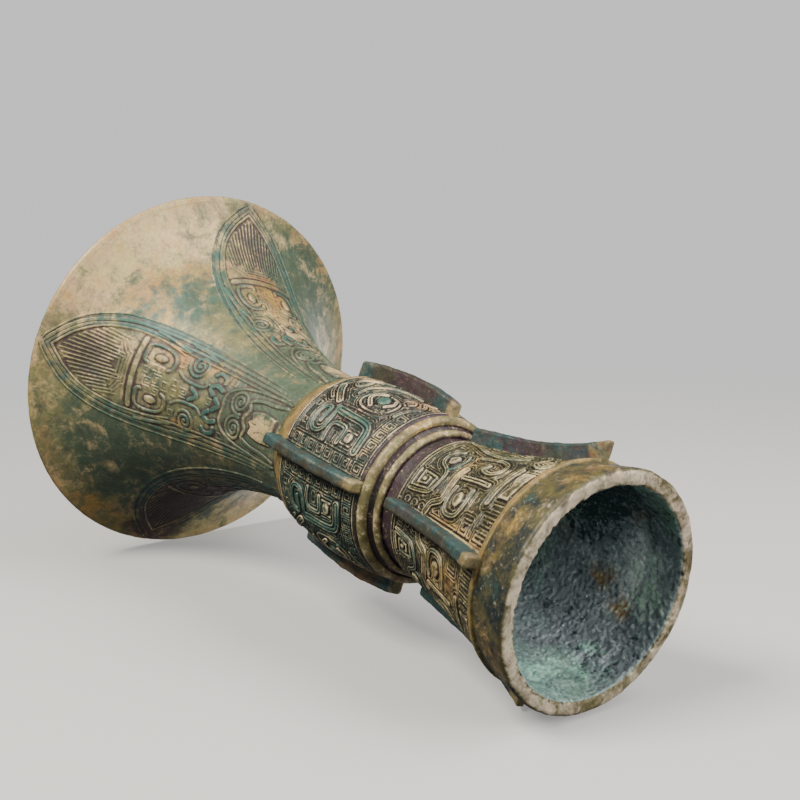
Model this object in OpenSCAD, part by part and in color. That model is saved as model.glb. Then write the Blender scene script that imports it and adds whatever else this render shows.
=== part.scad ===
// Bronze gu: a tall ritual beaker with a trumpet mouth, a slim neck, a decorated
// belly and a flared foot. It stands on its foot, with +Z up and the origin at the
// centre of the foot's underside. Millimetres.
// The vessel is one casting. Its sections meet face to face, as the casting's
// core and mould sections did.

/* [Overall] */
// Height from the foot's underside to the mouth
body_h = 260; // [235:1:300]
// Outer radius of the mouth
mouth_r = 79; // [70:0.5:88]
// Number of faces round each turned surface
round_faces = 96; // [48:8:144]

/* [Foot] */
// Outer radius of the foot's rim on the ground
foot_rim_r = 42.3; // [38:0.1:48]
// Width of the flat face that the vessel stands on
foot_rim_w = 6.2; // [4:0.1:8]
// Height of the plain band at the bottom of the foot
foot_ring_h = 17; // [12:0.5:24]
// Outer radius of the plain band where it meets the foot's wall
foot_ring_top_r = 38.9; // [36:0.1:42]
// Height of the decorated wall of the foot
foot_wall_h = 60; // [50:0.5:72]
// Outer radius at the top of the decorated wall
foot_top_r = 26.6; // [24:0.1:29]
// Thickness of the foot's wall
foot_wall_t = 2.8; // [2:0.1:4.5]
// How far the ridge over the plain band stands out
ridge_out = 0.9; // [0.4:0.1:2]
// Height of that ridge
ridge_h = 2.2; // [1:0.1:4]

/* [Waist] */
// Height of the plain band between foot and belly
waist_h = 14.5; // [12:0.5:20]
// How far the waist is drawn in from the top of the foot
waist_step = 1.4; // [0.8:0.1:1.8]
// Thickness of the waist's wall
waist_t = 2.6; // [2:0.1:4]
// Height of the straight part of the waist
waist_straight_h = 6.8; // [4:0.1:9]
// Radius of the upper string rib's section
upper_rib_r = 2; // [1.2:0.1:2.6]
// Radius of the lower string rib's section
lower_rib_r = 1.6; // [1:0.1:2.2]
// Distance of the upper string rib's middle below the belly
upper_rib_drop = 2.5; // [2:0.1:3.5]
// Distance of the lower string rib's middle below the belly
lower_rib_drop = 6.6; // [5.8:0.1:8]
// Thickness of the floor between the cup and the foot
floor_t = 3; // [2:0.1:5]

/* [Belly] */
// Height of the decorated belly
belly_h = 48; // [40:0.5:58]
// Outer radius of the belly at its upper and lower edges
belly_edge_r = 31.9; // [30:0.1:36]
// How far the belly swells out at mid height
belly_swell = 1.7; // [0.5:0.1:4]
// Thickness of the belly's wall, with its relief
belly_wall_t = 3; // [2.2:0.1:4.5]
// Height of the smooth shoulder over the belly
shoulder_h = 12; // [9:0.5:16]

/* [Neck and trumpet] */
// Outer radius at the bottom of the neck
neck_r = 26.6; // [24:0.1:29]
// Thickness of the neck's wall
neck_t = 2.4; // [2:0.1:4]
// How far up the neck's curve keeps its direction
neck_reach = 44; // [30:1:60]
// How far the neck's direction leans out over that reach
neck_lean = 1.3; // [0:0.1:4]
// Slope of the mouth's rim above the horizontal, in degrees
flare_angle = 21; // [10:1:35]
// How far in from the rim the mouth's curve keeps its slope
flare_reach = 36; // [26:1:44]
// Share of the curve that belongs to the neck
neck_share = 0.24; // [0.15:0.01:0.35]
// Width of the rounded lip at the rim
lip_w = 5; // [3:0.1:8]

/* [Flanges] */
// Thickness of the flanges
flange_t = 4.4; // [3:0.1:6]
// How far a belly flange stands out at its ends
belly_flange_out = 4.6; // [3:0.1:7]
// How far its outer edge swells at mid height
belly_flange_swell = 2.6; // [0:0.1:5]
// How far a belly flange reaches up over the shoulder
belly_flange_up = 7.5; // [3:0.5:9]
// How far a belly flange reaches down over the waist
belly_flange_down = 1.5; // [0:0.1:2.5]
// How far a foot flange stands out at its top
foot_flange_top_out = 4.9; // [3:0.1:7]
// How far the flared end of a foot flange stands out
foot_flange_end_out = 7.6; // [4:0.1:10]
// How fast a foot flange draws in above its flared end
foot_flange_draw_in = 10.5; // [8:0.1:12]
// Fullness of a foot flange under its top
foot_flange_full = 3; // [1:0.1:4]

/* [Relief] */
// Thickness of the decorated skin on belly and foot
skin_t = 0.6; // [0.4:0.1:1]
// Height of the raised figures over the skin
figure_h = 0.8; // [0.4:0.1:1.2]
// Half width of a blade at the bottom of the neck
blade_base_w = 15.6; // [12:0.1:17]
// Fullness of a blade near its point
blade_full_w = 38; // [30:0.5:44]
// Distance from a blade's point to the rim
blade_tip_gap = 4.5; // [3.2:0.1:10]
// Width of the raised border round a blade
blade_border = 4; // [2:0.1:6]
// Half width of a mask's eye
eye_w = 6.6; // [5:0.1:8]
// Radius of the pupil in the eye
pupil_r = 2.8; // [1.8:0.1:3.2]
// Outer radius of the scroll that stands for a mask's body
body_scroll_r = 9.5; // [7:0.1:10.5]
// Outer radius of the volutes near the foot of a blade
volute_r = 4.6; // [3.5:0.1:5]
// Width of the bands that the scrolls are made of
scroll_w = 2.6; // [1.5:0.1:3]

/* [Hidden] */

// Heights of the joins between the sections, from the ground up
z_ring = foot_ring_h;
z_waist = z_ring + foot_wall_h;
z_belly = z_waist + waist_h;
z_shoulder = z_belly + belly_h;
z_neck = z_shoulder + shoulder_h;

// Radii that follow from the walls
waist_r = foot_top_r - waist_step;
foot_in_r = foot_rim_r - foot_rim_w;
waist_in_r = waist_r - waist_t;
belly_in_r = belly_edge_r - belly_wall_t;

// Steps along one curve of a section
steps = 14;
// Azimuths of the flanges and blades, in degrees
right = 0;
back = 90;
left = 180;
front = 270;
// A size past the outside of everything
beyond = mouth_r + body_h;

// Points on a cubic curve through four handles, and its outward normal there
function on_curve(c, t) = let (u = 1 - t)
    u*u*u*c[0] + 3*u*u*t*c[1] + 3*u*t*t*c[2] + t*t*t*c[3];
function along(c, t) = let (u = 1 - t)
    u*u*(c[1] - c[0]) + 2*u*t*(c[2] - c[1]) + t*t*(c[3] - c[2]);
function outward(c, t) = let (a = along(c, t)) [a[1], -a[0]] / norm(a);
function curve(c, t0 = 0, t1 = 1, out = 0) =
    [for (i = [0:steps]) let (t = t0 + (t1 - t0)*i/steps) on_curve(c, t) + out*outward(c, t)];
function inside(c, thick) = on_curve(c, 0) - thick*outward(c, 0);
function backwards(p) = [for (i = [len(p)-1:-1:0]) p[i]];

// The trumpet's outer face, from the neck to the rim
rim_along = [cos(flare_angle), sin(flare_angle)];
rim_out = [sin(flare_angle), -cos(flare_angle)];
lip_middle = [mouth_r - neck_t/2, body_h - neck_t/2];
rim_point = lip_middle + rim_out*neck_t/2;
trumpet = [[neck_r, z_neck], [neck_r + neck_lean, z_neck + neck_reach],
           rim_point - rim_along*flare_reach, rim_point];
lip_share = 1 - lip_w/(3*flare_reach);

// The foot's outer face, from the ring to the waist
foot_reach = 0.54*foot_wall_h;
foot_fullness = 2.4;
foot_straight_h = 4.5;
foot = [[foot_ring_top_r, z_ring], [foot_top_r + foot_fullness, z_ring + foot_reach],
        [foot_top_r, z_waist - foot_straight_h], [foot_top_r, z_waist]];
ridge_share = ridge_h/(3*foot_reach);
// The plain band's outer face, from the ground up
ring_draw_in = 1.6;
ring_fullness = 0.8;
ring = [[foot_rim_r, 0], [foot_rim_r - ring_draw_in, foot_ring_h*0.4],
        [foot_ring_top_r + ring_fullness, foot_ring_h*0.7], [foot_ring_top_r, z_ring]];
// The shoulder's outer face, from the belly to the neck
shoulder_straight_h = 3;
shoulder_foot_out = 2.4;
shoulder_foot_h = 6.5;
shoulder = [[belly_edge_r, z_shoulder], [belly_edge_r, z_shoulder + shoulder_straight_h],
            [neck_r + shoulder_foot_out, z_neck - shoulder_foot_h], [neck_r, z_neck]];

function belly_r(z) = let (s = (z - z_belly)/belly_h)
    belly_edge_r + 4*belly_swell*s*(1 - s);
function belly(out = 0) =
    [for (i = [0:steps]) let (z = z_belly + belly_h*i/steps) [belly_r(z) + out, z]];
// The waist's outer face, up to the belly's lower edge
waist = [[waist_r, z_waist], [waist_r, z_waist + waist_straight_h], [belly_edge_r, z_belly]];
// The waist's outer radius above its straight part
function waist_slope_r(drop) =
    belly_edge_r - (belly_edge_r - waist_r)*drop/(waist_h - waist_straight_h);

module turned(points) rotate_extrude($fn = round_faces) polygon(points);

// A wall between an outer curve and the same curve moved in by the wall's thickness
module wall(c, t0, t1, thick) turned(concat(curve(c, t0, t1), backwards(curve(c, t0, t1, -thick))));

// Everything inside the outer faces, which flanges and ribs are cut back from
module core() turned(concat(
    [[0, 0]], curve(ring), curve(foot, 0, 1, -skin_t), waist,
    belly(-skin_t), curve(shoulder), [[0, z_neck]]));

module mouth_lip() color("tan") {
    wall(trumpet, lip_share, 1, neck_t);
    turned([for (a = [0:15:345]) lip_middle + neck_t/2*[cos(a), sin(a)]]);
}
module trumpet_wall() color("cadetblue") wall(trumpet, neck_share, lip_share, neck_t);
module neck_wall() color("darkslategray") wall(trumpet, 0, neck_share, neck_t);
module shoulder_band() color("goldenrod") turned(concat(
    curve(shoulder), [inside(trumpet, neck_t), [belly_in_r, z_shoulder]]));
module belly_wall() color("darkslategray") turned(concat(
    belly(-skin_t), [[belly_in_r, z_shoulder], [belly_in_r, z_belly]]));
module waist_band() color("dimgray") turned(concat(
    waist, [[belly_in_r, z_belly], [waist_in_r, z_waist + waist_straight_h + floor_t],
            [waist_in_r, z_waist]]));
module cup_floor() color("darkslategray")
    translate([0, 0, z_waist + waist_straight_h])
        cylinder(r = waist_in_r, h = floor_t, $fn = round_faces);

module round_rib(drop, rib_r) turned([for (a = [0:20:340])
    [waist_slope_r(drop) + rib_r*cos(a), z_belly - drop + rib_r*sin(a)]]);
module string_rib(drop, rib_r) difference() {
    round_rib(drop, rib_r);
    core();
}
module upper_string_rib() color("khaki") string_rib(upper_rib_drop, upper_rib_r);
module lower_string_rib() color("khaki") string_rib(lower_rib_drop, lower_rib_r);

module foot_wall() color("darkslategray") turned(concat(
    curve(foot, 0, 1, -skin_t), backwards(curve(foot, 0, 1, -foot_wall_t))));
module foot_ridge() color("goldenrod") turned(concat(
    curve(foot, 0, ridge_share, ridge_out), backwards(curve(foot, 0, ridge_share, -skin_t))));
module foot_ring() color("olivedrab") turned(concat(
    curve(ring), [inside(foot, foot_wall_t), [foot_in_r, 0]]));

// A flange is a plate in the plane through the axis, cut back to the casting's face
module flange(azimuth, points) difference() {
    rotate([90, 0, azimuth])
        translate([0, 0, -flange_t/2])
            linear_extrude(flange_t) polygon(points);
    core();
    round_rib(upper_rib_drop, upper_rib_r);
    foot_ridge();
}
belly_flange_low = z_belly - belly_flange_down;
belly_flange_high = z_shoulder + belly_flange_up;
belly_flange_r = belly_edge_r + belly_flange_out;
belly_flange_mid_r = belly_flange_r + belly_flange_swell*4/3;
belly_flange_edge = [
    [belly_flange_r, belly_flange_low], [belly_flange_mid_r, z_belly + belly_h*0.3],
    [belly_flange_mid_r, z_belly + belly_h*0.7], [belly_flange_r, belly_flange_high]];
module belly_flange(azimuth) color("steelblue") flange(azimuth, concat(
    curve(belly_flange_edge), [[waist_in_r, belly_flange_high], [waist_in_r, belly_flange_low]]));
module belly_flange_right() belly_flange(right);
module belly_flange_back() belly_flange(back);
module belly_flange_left() belly_flange(left);
module belly_flange_front() belly_flange(front);

foot_flange_end_r = foot_ring_top_r + foot_flange_end_out;
foot_flange_edge = [
    [foot_flange_end_r, z_ring], [foot_flange_end_r - foot_flange_draw_in, z_ring + foot_wall_h*0.35],
    [foot_top_r + foot_flange_top_out + foot_flange_full, z_ring + foot_wall_h*0.68],
    [foot_top_r + foot_flange_top_out, z_waist]];
module foot_flange(azimuth) color("steelblue") flange(azimuth, concat(
    curve(foot_flange_edge), [[waist_in_r, z_waist], [waist_in_r, z_ring]]));
module foot_flange_right() foot_flange(right);
module foot_flange_back() foot_flange(back);
module foot_flange_left() foot_flange(left);
module foot_flange_front() foot_flange(front);

// A flat figure carried straight out from the axis at one azimuth and height
module outwards(azimuth, z) rotate([90, 0, azimuth + 90]) translate([0, z, 0])
    linear_extrude(beyond) children();

// One half of a blade's outline, drawn in from its edge by an inset
blade_tip_z = rim_point[1] - blade_tip_gap*sin(flare_angle);
blade_point_h = 6;
volute_gap = 1;
function leaf(inset) = [
    for (i = [0:2*steps]) on_curve([
        [blade_base_w - inset, z_neck - inset], [blade_base_w - inset, z_neck + neck_reach*0.86],
        [blade_full_w - 2*inset, blade_tip_z - blade_point_h], [0, blade_tip_z - 2*inset]],
        i/(2*steps))];
function both_sides(half) = concat(half, [for (p = backwards(half)) [-p[0], p[1]]]);
// Heights of a blade's figures, as shares of the way from the neck's foot to the mouth
blade_h = body_h - z_neck;
bar_z = z_neck + 0.72*blade_h;
blade_eye_z = z_neck + 0.64*blade_h;
volute_z = z_neck + 0.24*blade_h;
knob_h = 0.16*blade_h;
module blade_figures() {
    difference() {
        polygon(both_sides(leaf(0)));
        polygon(both_sides(leaf(blade_border)));
    }
    intersection() {
        polygon(both_sides(leaf(blade_border/2)));
        translate([0, bar_z]) square([2*blade_full_w, scroll_w], center = true);
    }
    for (side = [-1, 1]) {
        translate([side*3*pupil_r, blade_eye_z]) circle(r = pupil_r, $fn = 32);
        translate([side*(volute_r + volute_gap/2), volute_z]) difference() {
            circle(r = volute_r, $fn = 48);
            circle(r = volute_r - scroll_w/2, $fn = 48);
        }
    }
    translate([0, z_neck + knob_h/2]) square([volute_r*2, knob_h], center = true);
}
module blade(azimuth) color("darkcyan") intersection() {
    turned(concat(curve(trumpet, 0, 1, figure_h), backwards(curve(trumpet))));
    outwards(azimuth, 0) blade_figures();
}
module blade_right() blade(right);
module blade_back() blade(back);
module blade_left() blade(left);
module blade_front() blade(front);

// Figures of the masks: a pointed eye, a scroll with a hook in it and a long loop
module almond(w, h) let (r = (w*w + h*h)/(2*h)) intersection() {
    translate([0, r - h]) circle(r = r, $fn = 96);
    translate([0, h - r]) circle(r = r, $fn = 96);
}
module eye() {
    difference() {
        almond(eye_w, eye_w*0.66);
        almond(eye_w*0.8, eye_w*0.48);
    }
    circle(r = pupil_r, $fn = 32);
}
module round_eye() {
    circle(r = pupil_r, $fn = 32);
    difference() {
        circle(r = 2*pupil_r, $fn = 48);
        circle(r = 1.6*pupil_r, $fn = 48);
    }
}
module scroll(r) {
    difference() {
        circle(r = r, $fn = 64);
        circle(r = r - scroll_w, $fn = 64);
        translate([0, r]) square([0.7*r, 1.6*r], center = true);
    }
    square([0.8*r, 0.7*r], center = true);
}
module long_loop(l, r) difference() {
    long_round(l, r);
    long_round(l, r - scroll_w*0.6);
}
module long_round(l, r) {
    square([l, 2*r], center = true);
    for (side = [-1, 1]) translate([side*l/2, 0]) circle(r = r, $fn = 32);
}

// Places of the figures: degrees from the mask's nose, and share of the height
belly_eye = [30, 0.37];
belly_body = [64, 0.4];
belly_hook = [60, 0.73];
belly_horn = [37, 0.82];
belly_jaw = [18, 0.16];
foot_eye = [40, 0.75];
foot_spiral = [62, 0.83];
foot_bar = [64, 0.66];
foot_loop = [66, 0.49];
foot_claw = [46, 0.17];
module figure_at(place, low, high) outwards(place[0], low + place[1]*high) children();

// One quarter of a mask's ring, between the planes of two flanges
module quarter(near_left, near_front) rotate(near_left) mirror([0, near_front, 0]) intersection() {
    children();
    translate([flange_t/2, flange_t/2, 0]) cube(beyond);
}
module belly_skin(out) turned(concat(belly(out), backwards(belly(-skin_t))));
module belly_figures() {
    figure_at(belly_eye, z_belly, belly_h) rotate(-20) eye();
    figure_at(belly_body, z_belly, belly_h) scroll(body_scroll_r);
    figure_at(belly_hook, z_belly, belly_h) long_loop(body_scroll_r, 1.2*scroll_w);
    figure_at(belly_horn, z_belly, belly_h) rotate(-40) long_round(body_scroll_r/2, scroll_w/2);
    figure_at(belly_jaw, z_belly, belly_h) long_loop(0.7*body_scroll_r, scroll_w);
}
module belly_mask(turn, flip) color("darkslategray") quarter(turn, flip) {
    union() {
        belly_skin(0);
        intersection() {
            belly_skin(figure_h);
            belly_figures();
        }
    }
}
module belly_mask_back_right() belly_mask(right, 0);
module belly_mask_back_left() belly_mask(left, 1);
module belly_mask_front_left() belly_mask(left, 0);
module belly_mask_front_right() belly_mask(right, 1);

module foot_skin(out) turned(concat(
    curve(foot, ridge_share, 1, out), backwards(curve(foot, ridge_share, 1, -skin_t))));
module foot_figures() {
    figure_at(foot_eye, z_ring, foot_wall_h) round_eye();
    figure_at(foot_spiral, z_ring, foot_wall_h) scroll(0.65*body_scroll_r);
    figure_at(foot_bar, z_ring, foot_wall_h) rotate(-5) long_round(1.2*body_scroll_r, scroll_w/2);
    figure_at(foot_loop, z_ring, foot_wall_h) rotate(-8) long_loop(0.8*body_scroll_r, 1.7*scroll_w);
    figure_at(foot_claw, z_ring, foot_wall_h) rotate(6) long_loop(1.2*body_scroll_r, 1.4*scroll_w);
}
module foot_mask(turn, flip) color("darkslategray") quarter(turn, flip) {
    union() {
        foot_skin(0);
        intersection() {
            foot_skin(figure_h);
            foot_figures();
        }
    }
}
module foot_mask_back_right() foot_mask(right, 0);
module foot_mask_back_left() foot_mask(left, 1);
module foot_mask_front_left() foot_mask(left, 0);
module foot_mask_front_right() foot_mask(right, 1);

mouth_lip();
trumpet_wall();
neck_wall();
shoulder_band();
belly_wall();
cup_floor();
waist_band();
upper_string_rib();
lower_string_rib();
foot_wall();
foot_ridge();
foot_ring();
belly_flange_right();
belly_flange_back();
belly_flange_left();
belly_flange_front();
foot_flange_right();
foot_flange_back();
foot_flange_left();
foot_flange_front();
blade_right();
blade_back();
blade_left();
blade_front();
belly_mask_back_right();
belly_mask_back_left();
belly_mask_front_left();
belly_mask_front_right();
foot_mask_back_right();
foot_mask_back_left();
foot_mask_front_left();
foot_mask_front_right();
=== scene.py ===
# %% [markdown]
# A bronze gu: a cast ritual beaker with a trumpet mouth, a decorated belly and a flared foot. The
# packed model is the frame; it is loaded first.

# %% Load the frame
import math
import bpy
import numpy as np
from mathutils import Matrix, Vector


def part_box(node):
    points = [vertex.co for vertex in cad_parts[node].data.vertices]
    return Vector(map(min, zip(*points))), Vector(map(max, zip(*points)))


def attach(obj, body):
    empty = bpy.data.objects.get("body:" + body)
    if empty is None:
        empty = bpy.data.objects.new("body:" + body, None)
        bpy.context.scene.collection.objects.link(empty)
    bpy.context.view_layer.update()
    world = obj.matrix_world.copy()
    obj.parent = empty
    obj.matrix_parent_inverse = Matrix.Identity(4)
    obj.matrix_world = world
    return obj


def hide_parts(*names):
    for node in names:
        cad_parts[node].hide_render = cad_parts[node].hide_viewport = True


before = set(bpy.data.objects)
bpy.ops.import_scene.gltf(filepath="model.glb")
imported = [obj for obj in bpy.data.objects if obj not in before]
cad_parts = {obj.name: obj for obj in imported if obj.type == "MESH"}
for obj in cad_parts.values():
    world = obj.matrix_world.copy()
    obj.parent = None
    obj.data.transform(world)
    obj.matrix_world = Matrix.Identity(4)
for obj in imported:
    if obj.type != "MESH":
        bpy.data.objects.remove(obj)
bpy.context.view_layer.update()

MM = 0.001
print("nodes in the frame:", len(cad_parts))

# %% [markdown]
# A turned vessel is known by its heights and radii. The heights are read from the frame's boxes, so
# that each dressed piece sits where its solid is. The handles of the curves repeat the source's.

# %% Heights and radii in millimetres


def low(node):
    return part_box(node)[0].z / MM


def top(node):
    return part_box(node)[1].z / MM


def reach(node):
    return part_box(node)[1].x / MM


z_ring = top("foot_ring")
z_waist = top("foot_wall")
z_belly = top("waist_band")
z_shoulder = top("belly_wall")
z_neck = top("shoulder_band")
body_h = top("mouth_lip")
mouth_r = reach("mouth_lip")
foot_rim_r = reach("foot_ring")
belly_edge_r = reach("waist_band")
floor_low = low("cup_floor")
floor_top = top("cup_floor")
floor_r = reach("cup_floor")
ring_top_r = 38.9
ring_width = 6.2
foot_top_r = 26.6
waist_r = foot_top_r - 1.4
belly_swell = 1.7
neck_r = 26.6
cup_t = 2.4
wall_t = 2.8
flange_t = 4.4
flare_angle = math.radians(21)
flare_reach = 36
neck_reach = 44
neck_lean = 1.3
ridge_out = 0.9
ridge_h = 2.2
print("heights:", [round(z, 1) for z in (z_ring, z_waist, z_belly, z_shoulder, z_neck, body_h)])

# %% [markdown]
# A face of revolution is drawn as a half section. This class keeps one such line by its arc length,
# and gives the radius, the height and the outward normal at any distance along it.

# %% A section line by arc length
CURVE_POINTS = 400


def cubic(handles):
    """Points of the curve between the first and the last of four handles."""
    t = np.linspace(0, 1, CURVE_POINTS)[:, None]
    a, b, c, d = [np.array(h, float) for h in handles]
    return a * (1 - t)**3 + 3 * b * t * (1 - t)**2 + 3 * c * t * t * (1 - t) + d * t**3


class Section:
    """A line of (radius, height) points, measured along itself."""

    def __init__(self, points):
        self.points = np.array(points, float)
        steps = np.hypot(*np.diff(self.points, axis=0).T)
        self.along = np.concatenate([[0], np.cumsum(steps)])
        self.length = self.along[-1]
        slope = np.gradient(self.points, self.along, axis=0)
        slope /= np.hypot(*slope.T)[:, None]
        self.normal = np.stack([slope[:, 1], -slope[:, 0]], 1)

    def at(self, s):
        r = np.interp(s, self.along, self.points[:, 0])
        z = np.interp(s, self.along, self.points[:, 1])
        nr = np.interp(s, self.along, self.normal[:, 0])
        nz = np.interp(s, self.along, self.normal[:, 1])
        return r, z, nr, nz

    def where(self, z):
        """The arc length at a height, on a line that climbs all the way."""
        return np.interp(z, self.points[:, 1], self.along)


lip_middle = np.array([mouth_r - cup_t / 2, body_h - cup_t / 2])
rim_out = np.array([math.sin(flare_angle), -math.cos(flare_angle)])
rim_along = np.array([math.cos(flare_angle), math.sin(flare_angle)])
rim_point = lip_middle + rim_out * cup_t / 2
trumpet = Section(cubic([(neck_r, z_neck), (neck_r + neck_lean, z_neck + neck_reach),
                         rim_point - rim_along * flare_reach, rim_point]))
foot_h = z_waist - z_ring
foot = Section(cubic([(ring_top_r, z_ring), (foot_top_r + 2.4, z_ring + 0.54 * foot_h),
                      (foot_top_r, z_waist - 4.5), (foot_top_r, z_waist)]))
ring = Section(cubic([(foot_rim_r, 0), (foot_rim_r - 1.6, z_ring * 0.4),
                      (ring_top_r + 0.8, z_ring * 0.7), (ring_top_r, z_ring)]))
shoulder = Section(cubic([(belly_edge_r, z_shoulder), (belly_edge_r, z_shoulder + 3),
                          (neck_r + 2.4, z_neck - 6.5), (neck_r, z_neck)]))
belly_h = z_shoulder - z_belly
share = np.linspace(0, 1, 200)
belly = Section(np.stack([belly_edge_r + 4 * belly_swell * share * (1 - share),
                          z_belly + belly_h * share], 1))
print("trumpet face is", round(trumpet.length, 1), "mm long")

# %% [markdown]
# Cast and corroded bronze is never smooth. A lattice of fixed random numbers, smoothly interpolated,
# gives lumps of any size at any point of the vessel, so neighbouring pieces agree where they meet.

# %% Lumps of corrosion
LATTICE = 48
COARSE_SIZE, MIDDLING_SIZE, FINE_SIZE = 14, 3.1, 0.9
lattice = np.random.default_rng(7).random((LATTICE, LATTICE, LATTICE))


def lumps(points, size, shift=0):
    """Smooth noise from -1 to 1 at points in millimetres, with lumps of the given size."""
    q = points / size + 11.3 * shift + 200
    cell = np.floor(q).astype(int)
    f = q - cell
    f = f * f * (3 - 2 * f)
    i, j, k = [cell[..., n] % LATTICE for n in range(3)]
    i2, j2, k2 = [(n + 1) % LATTICE for n in (i, j, k)]
    x, y, z = [f[..., n] for n in range(3)]
    near = (lattice[i, j, k] * (1 - x) + lattice[i2, j, k] * x) * (1 - y)
    near += (lattice[i, j2, k] * (1 - x) + lattice[i2, j2, k] * x) * y
    far = (lattice[i, j, k2] * (1 - x) + lattice[i2, j, k2] * x) * (1 - y)
    far += (lattice[i, j2, k2] * (1 - x) + lattice[i2, j2, k2] * x) * y
    return 2 * (near * (1 - z) + far * z) - 1


def worn(points, coarse, middling, fine):
    """Height of the corroded skin, in millimetres, from three sizes of lumps."""
    h = coarse * lumps(points, COARSE_SIZE, 1)
    h += middling * lumps(points, MIDDLING_SIZE, 2)
    return h + fine * lumps(points, FINE_SIZE, 3)


def ease(x, a, b):
    """Runs smoothly from 0 at a to 1 at b."""
    t = np.clip((x - a) / (b - a), 0, 1)
    return t * t * (3 - 2 * t)

# %% [markdown]
# Where a crust sits is part of the vessel's look: cream on one side of the mouth, ochre by the foot.
# A zone is a soft patch round one azimuth and height, and each piece sums the zones that it carries.

# %% Zones of crust


def zone(points, azimuth, z, half_turn, half_height):
    """A soft mask, 1 at the azimuth and height and fading over the two half sizes."""
    turned = np.degrees(np.arctan2(points[..., 1], points[..., 0])) - azimuth
    turned = (turned + 180) % 360 - 180
    return np.exp(-(turned / half_turn)**2 - ((points[..., 2] - z) / half_height)**2)


def zones(points, *places):
    """The sum of zones, each given as its strength and then its place."""
    return sum(place[0] * zone(points, *place[1:]) for place in places)

# %% [markdown]
# Large meshes are made from whole arrays, which is far quicker than point by point. Each piece keeps
# values per point for its finish, such as how proud it stands, how green its figure is and its stain.

# %% Make a mesh from arrays


def lay_mesh(name, points, faces, flat_from=None, values=None):
    """A mesh object from points in millimetres and loops of corners; faces after flat_from are flat."""
    corners = np.concatenate([np.array(f).ravel() for f in faces]).astype(np.int32)
    sizes = np.concatenate([np.full(len(f), np.shape(f)[1]) for f in faces]).astype(np.int32)
    mesh = bpy.data.meshes.new(name)
    mesh.vertices.add(len(points))
    mesh.vertices.foreach_set("co", (np.asarray(points) * MM).astype(np.float32).ravel())
    mesh.loops.add(len(corners))
    mesh.loops.foreach_set("vertex_index", corners)
    mesh.polygons.add(len(sizes))
    starts = np.concatenate([[0], np.cumsum(sizes)[:-1]]).astype(np.int32)
    mesh.polygons.foreach_set("loop_start", starts)
    smooth = np.ones(len(sizes), bool)
    if flat_from is not None:
        smooth[flat_from:] = False
    mesh.polygons.foreach_set("use_smooth", smooth)
    mesh.update(calc_edges=True)
    for label, value in (values or {}).items():
        layer = mesh.attributes.new(label, "FLOAT", "POINT")
        layer.data.foreach_set("value", np.asarray(value, np.float32).ravel())
    piece = bpy.data.objects.new(name, mesh)
    bpy.context.scene.collection.objects.link(piece)
    return piece


def dress(piece, slot, materials, *nodes):
    """The piece stands for its nodes, rides on the one body and wears the materials."""
    for material in materials if isinstance(materials, tuple) else (materials,):
        piece.data.materials.append(material)
    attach(piece, "root")
    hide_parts(*nodes)
    print(piece.name, len(piece.data.polygons), "faces")

# %% [markdown]
# Materials are graphs of nodes, and wiring them by hand takes many lines. A few short words for the
# nodes that come back again and again keep the recipes below readable.

# %% Words for nodes


class Wiring:
    """Builds the nodes of one tree. A value may be a socket, which is linked, or a constant."""

    def __init__(self, tree):
        self.nodes, self.links = tree.nodes, tree.links

    def new(self, kind, **settings):
        node = self.nodes.new("ShaderNode" + kind)
        for name, value in settings.items():
            setattr(node, name, value)
        return node

    def feed(self, entry, value):
        if isinstance(value, bpy.types.NodeSocket):
            self.links.new(value, entry)
        else:
            entry.default_value = value

    def feed_all(self, node, **values):
        """Feeds the node's sockets by name, with _ written for a space."""
        for name, value in values.items():
            self.feed(node.inputs[name.replace("_", " ")], value)
        return node

    def calc(self, way, a, b):
        node = self.new("Math", operation=way)
        self.feed(node.inputs[0], a)
        self.feed(node.inputs[1], b)
        return node.outputs[0]

    def plus(self, a, b):
        return self.calc("ADD", a, b)

    def less(self, a, b):
        return self.calc("SUBTRACT", a, b)

    def times(self, a, b):
        return self.calc("MULTIPLY", a, b)

    def swing(self, value, strength):
        """How far a noise is from its middle, times the strength."""
        return self.times(self.less(value, 0.5), strength)

    def ramp(self, value, start, end, low=0.0):
        """Runs softly from low to 1 while the value goes from start to end."""
        node = self.new("MapRange", interpolation_type="SMOOTHSTEP")
        self.feed_all(node, Value=value, From_Min=start, From_Max=end, To_Min=low)
        return node.outputs["Result"]

    def mix(self, mask, under, over):
        node = self.new("Mix", data_type="RGBA")
        return self.feed_all(node, Factor=mask, A=under, B=over).outputs["Result"]

    def blend(self, share, under, over):
        """A mix of two shader nodes."""
        node = self.new("MixShader")
        for entry, value in zip(node.inputs, (share, under.outputs[0], over.outputs[0])):
            self.feed(entry, value)
        return node

    def noise(self, scale, detail, rough, distort, seed):
        moved = self.new("VectorMath", operation="ADD")
        self.feed(moved.inputs[0], self.new("TexCoord").outputs["Object"])
        self.feed(moved.inputs[1], (seed, seed * 0.7, seed * 0.3))
        node = self.new("TexNoise")
        self.feed_all(node, Vector=moved.outputs[0], Scale=scale, Detail=detail, Roughness=rough,
                      Distortion=distort)
        return node.outputs["Fac"]

    def kept(self, label):
        """A value that the mesh keeps at each point."""
        return self.new("Attribute", attribute_name=label).outputs["Fac"]


print("words for nodes:", [word for word in vars(Wiring) if not word.startswith("_")])

# %% [markdown]
# Old bronze is covered by a crust of several minerals. One node group mixes them: two body colours in
# broad patches, a pale crust, ochre stains, green figures, a dark ground in the hollows, rubbed crests
# and a fine pale speckle, which in the foot's hollow is painted glints. Zones that push a piece's crest
# values down paint shade into the dark ground; in the foot's hollow, zones that push them up paint
# light into the pale crests. Each layer's edge is broken by noise. Each material places the group with
# its own colours and shares.

# %% The patina group
LAYERS = ("Body", "Second body", "Hollows", "Crests", "Figures", "Stain", "Pale crust")
SHARES = ("Second body share", "Pale share", "Hollow depth", "Crest rub", "Speckle and glint", "Pits")


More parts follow.
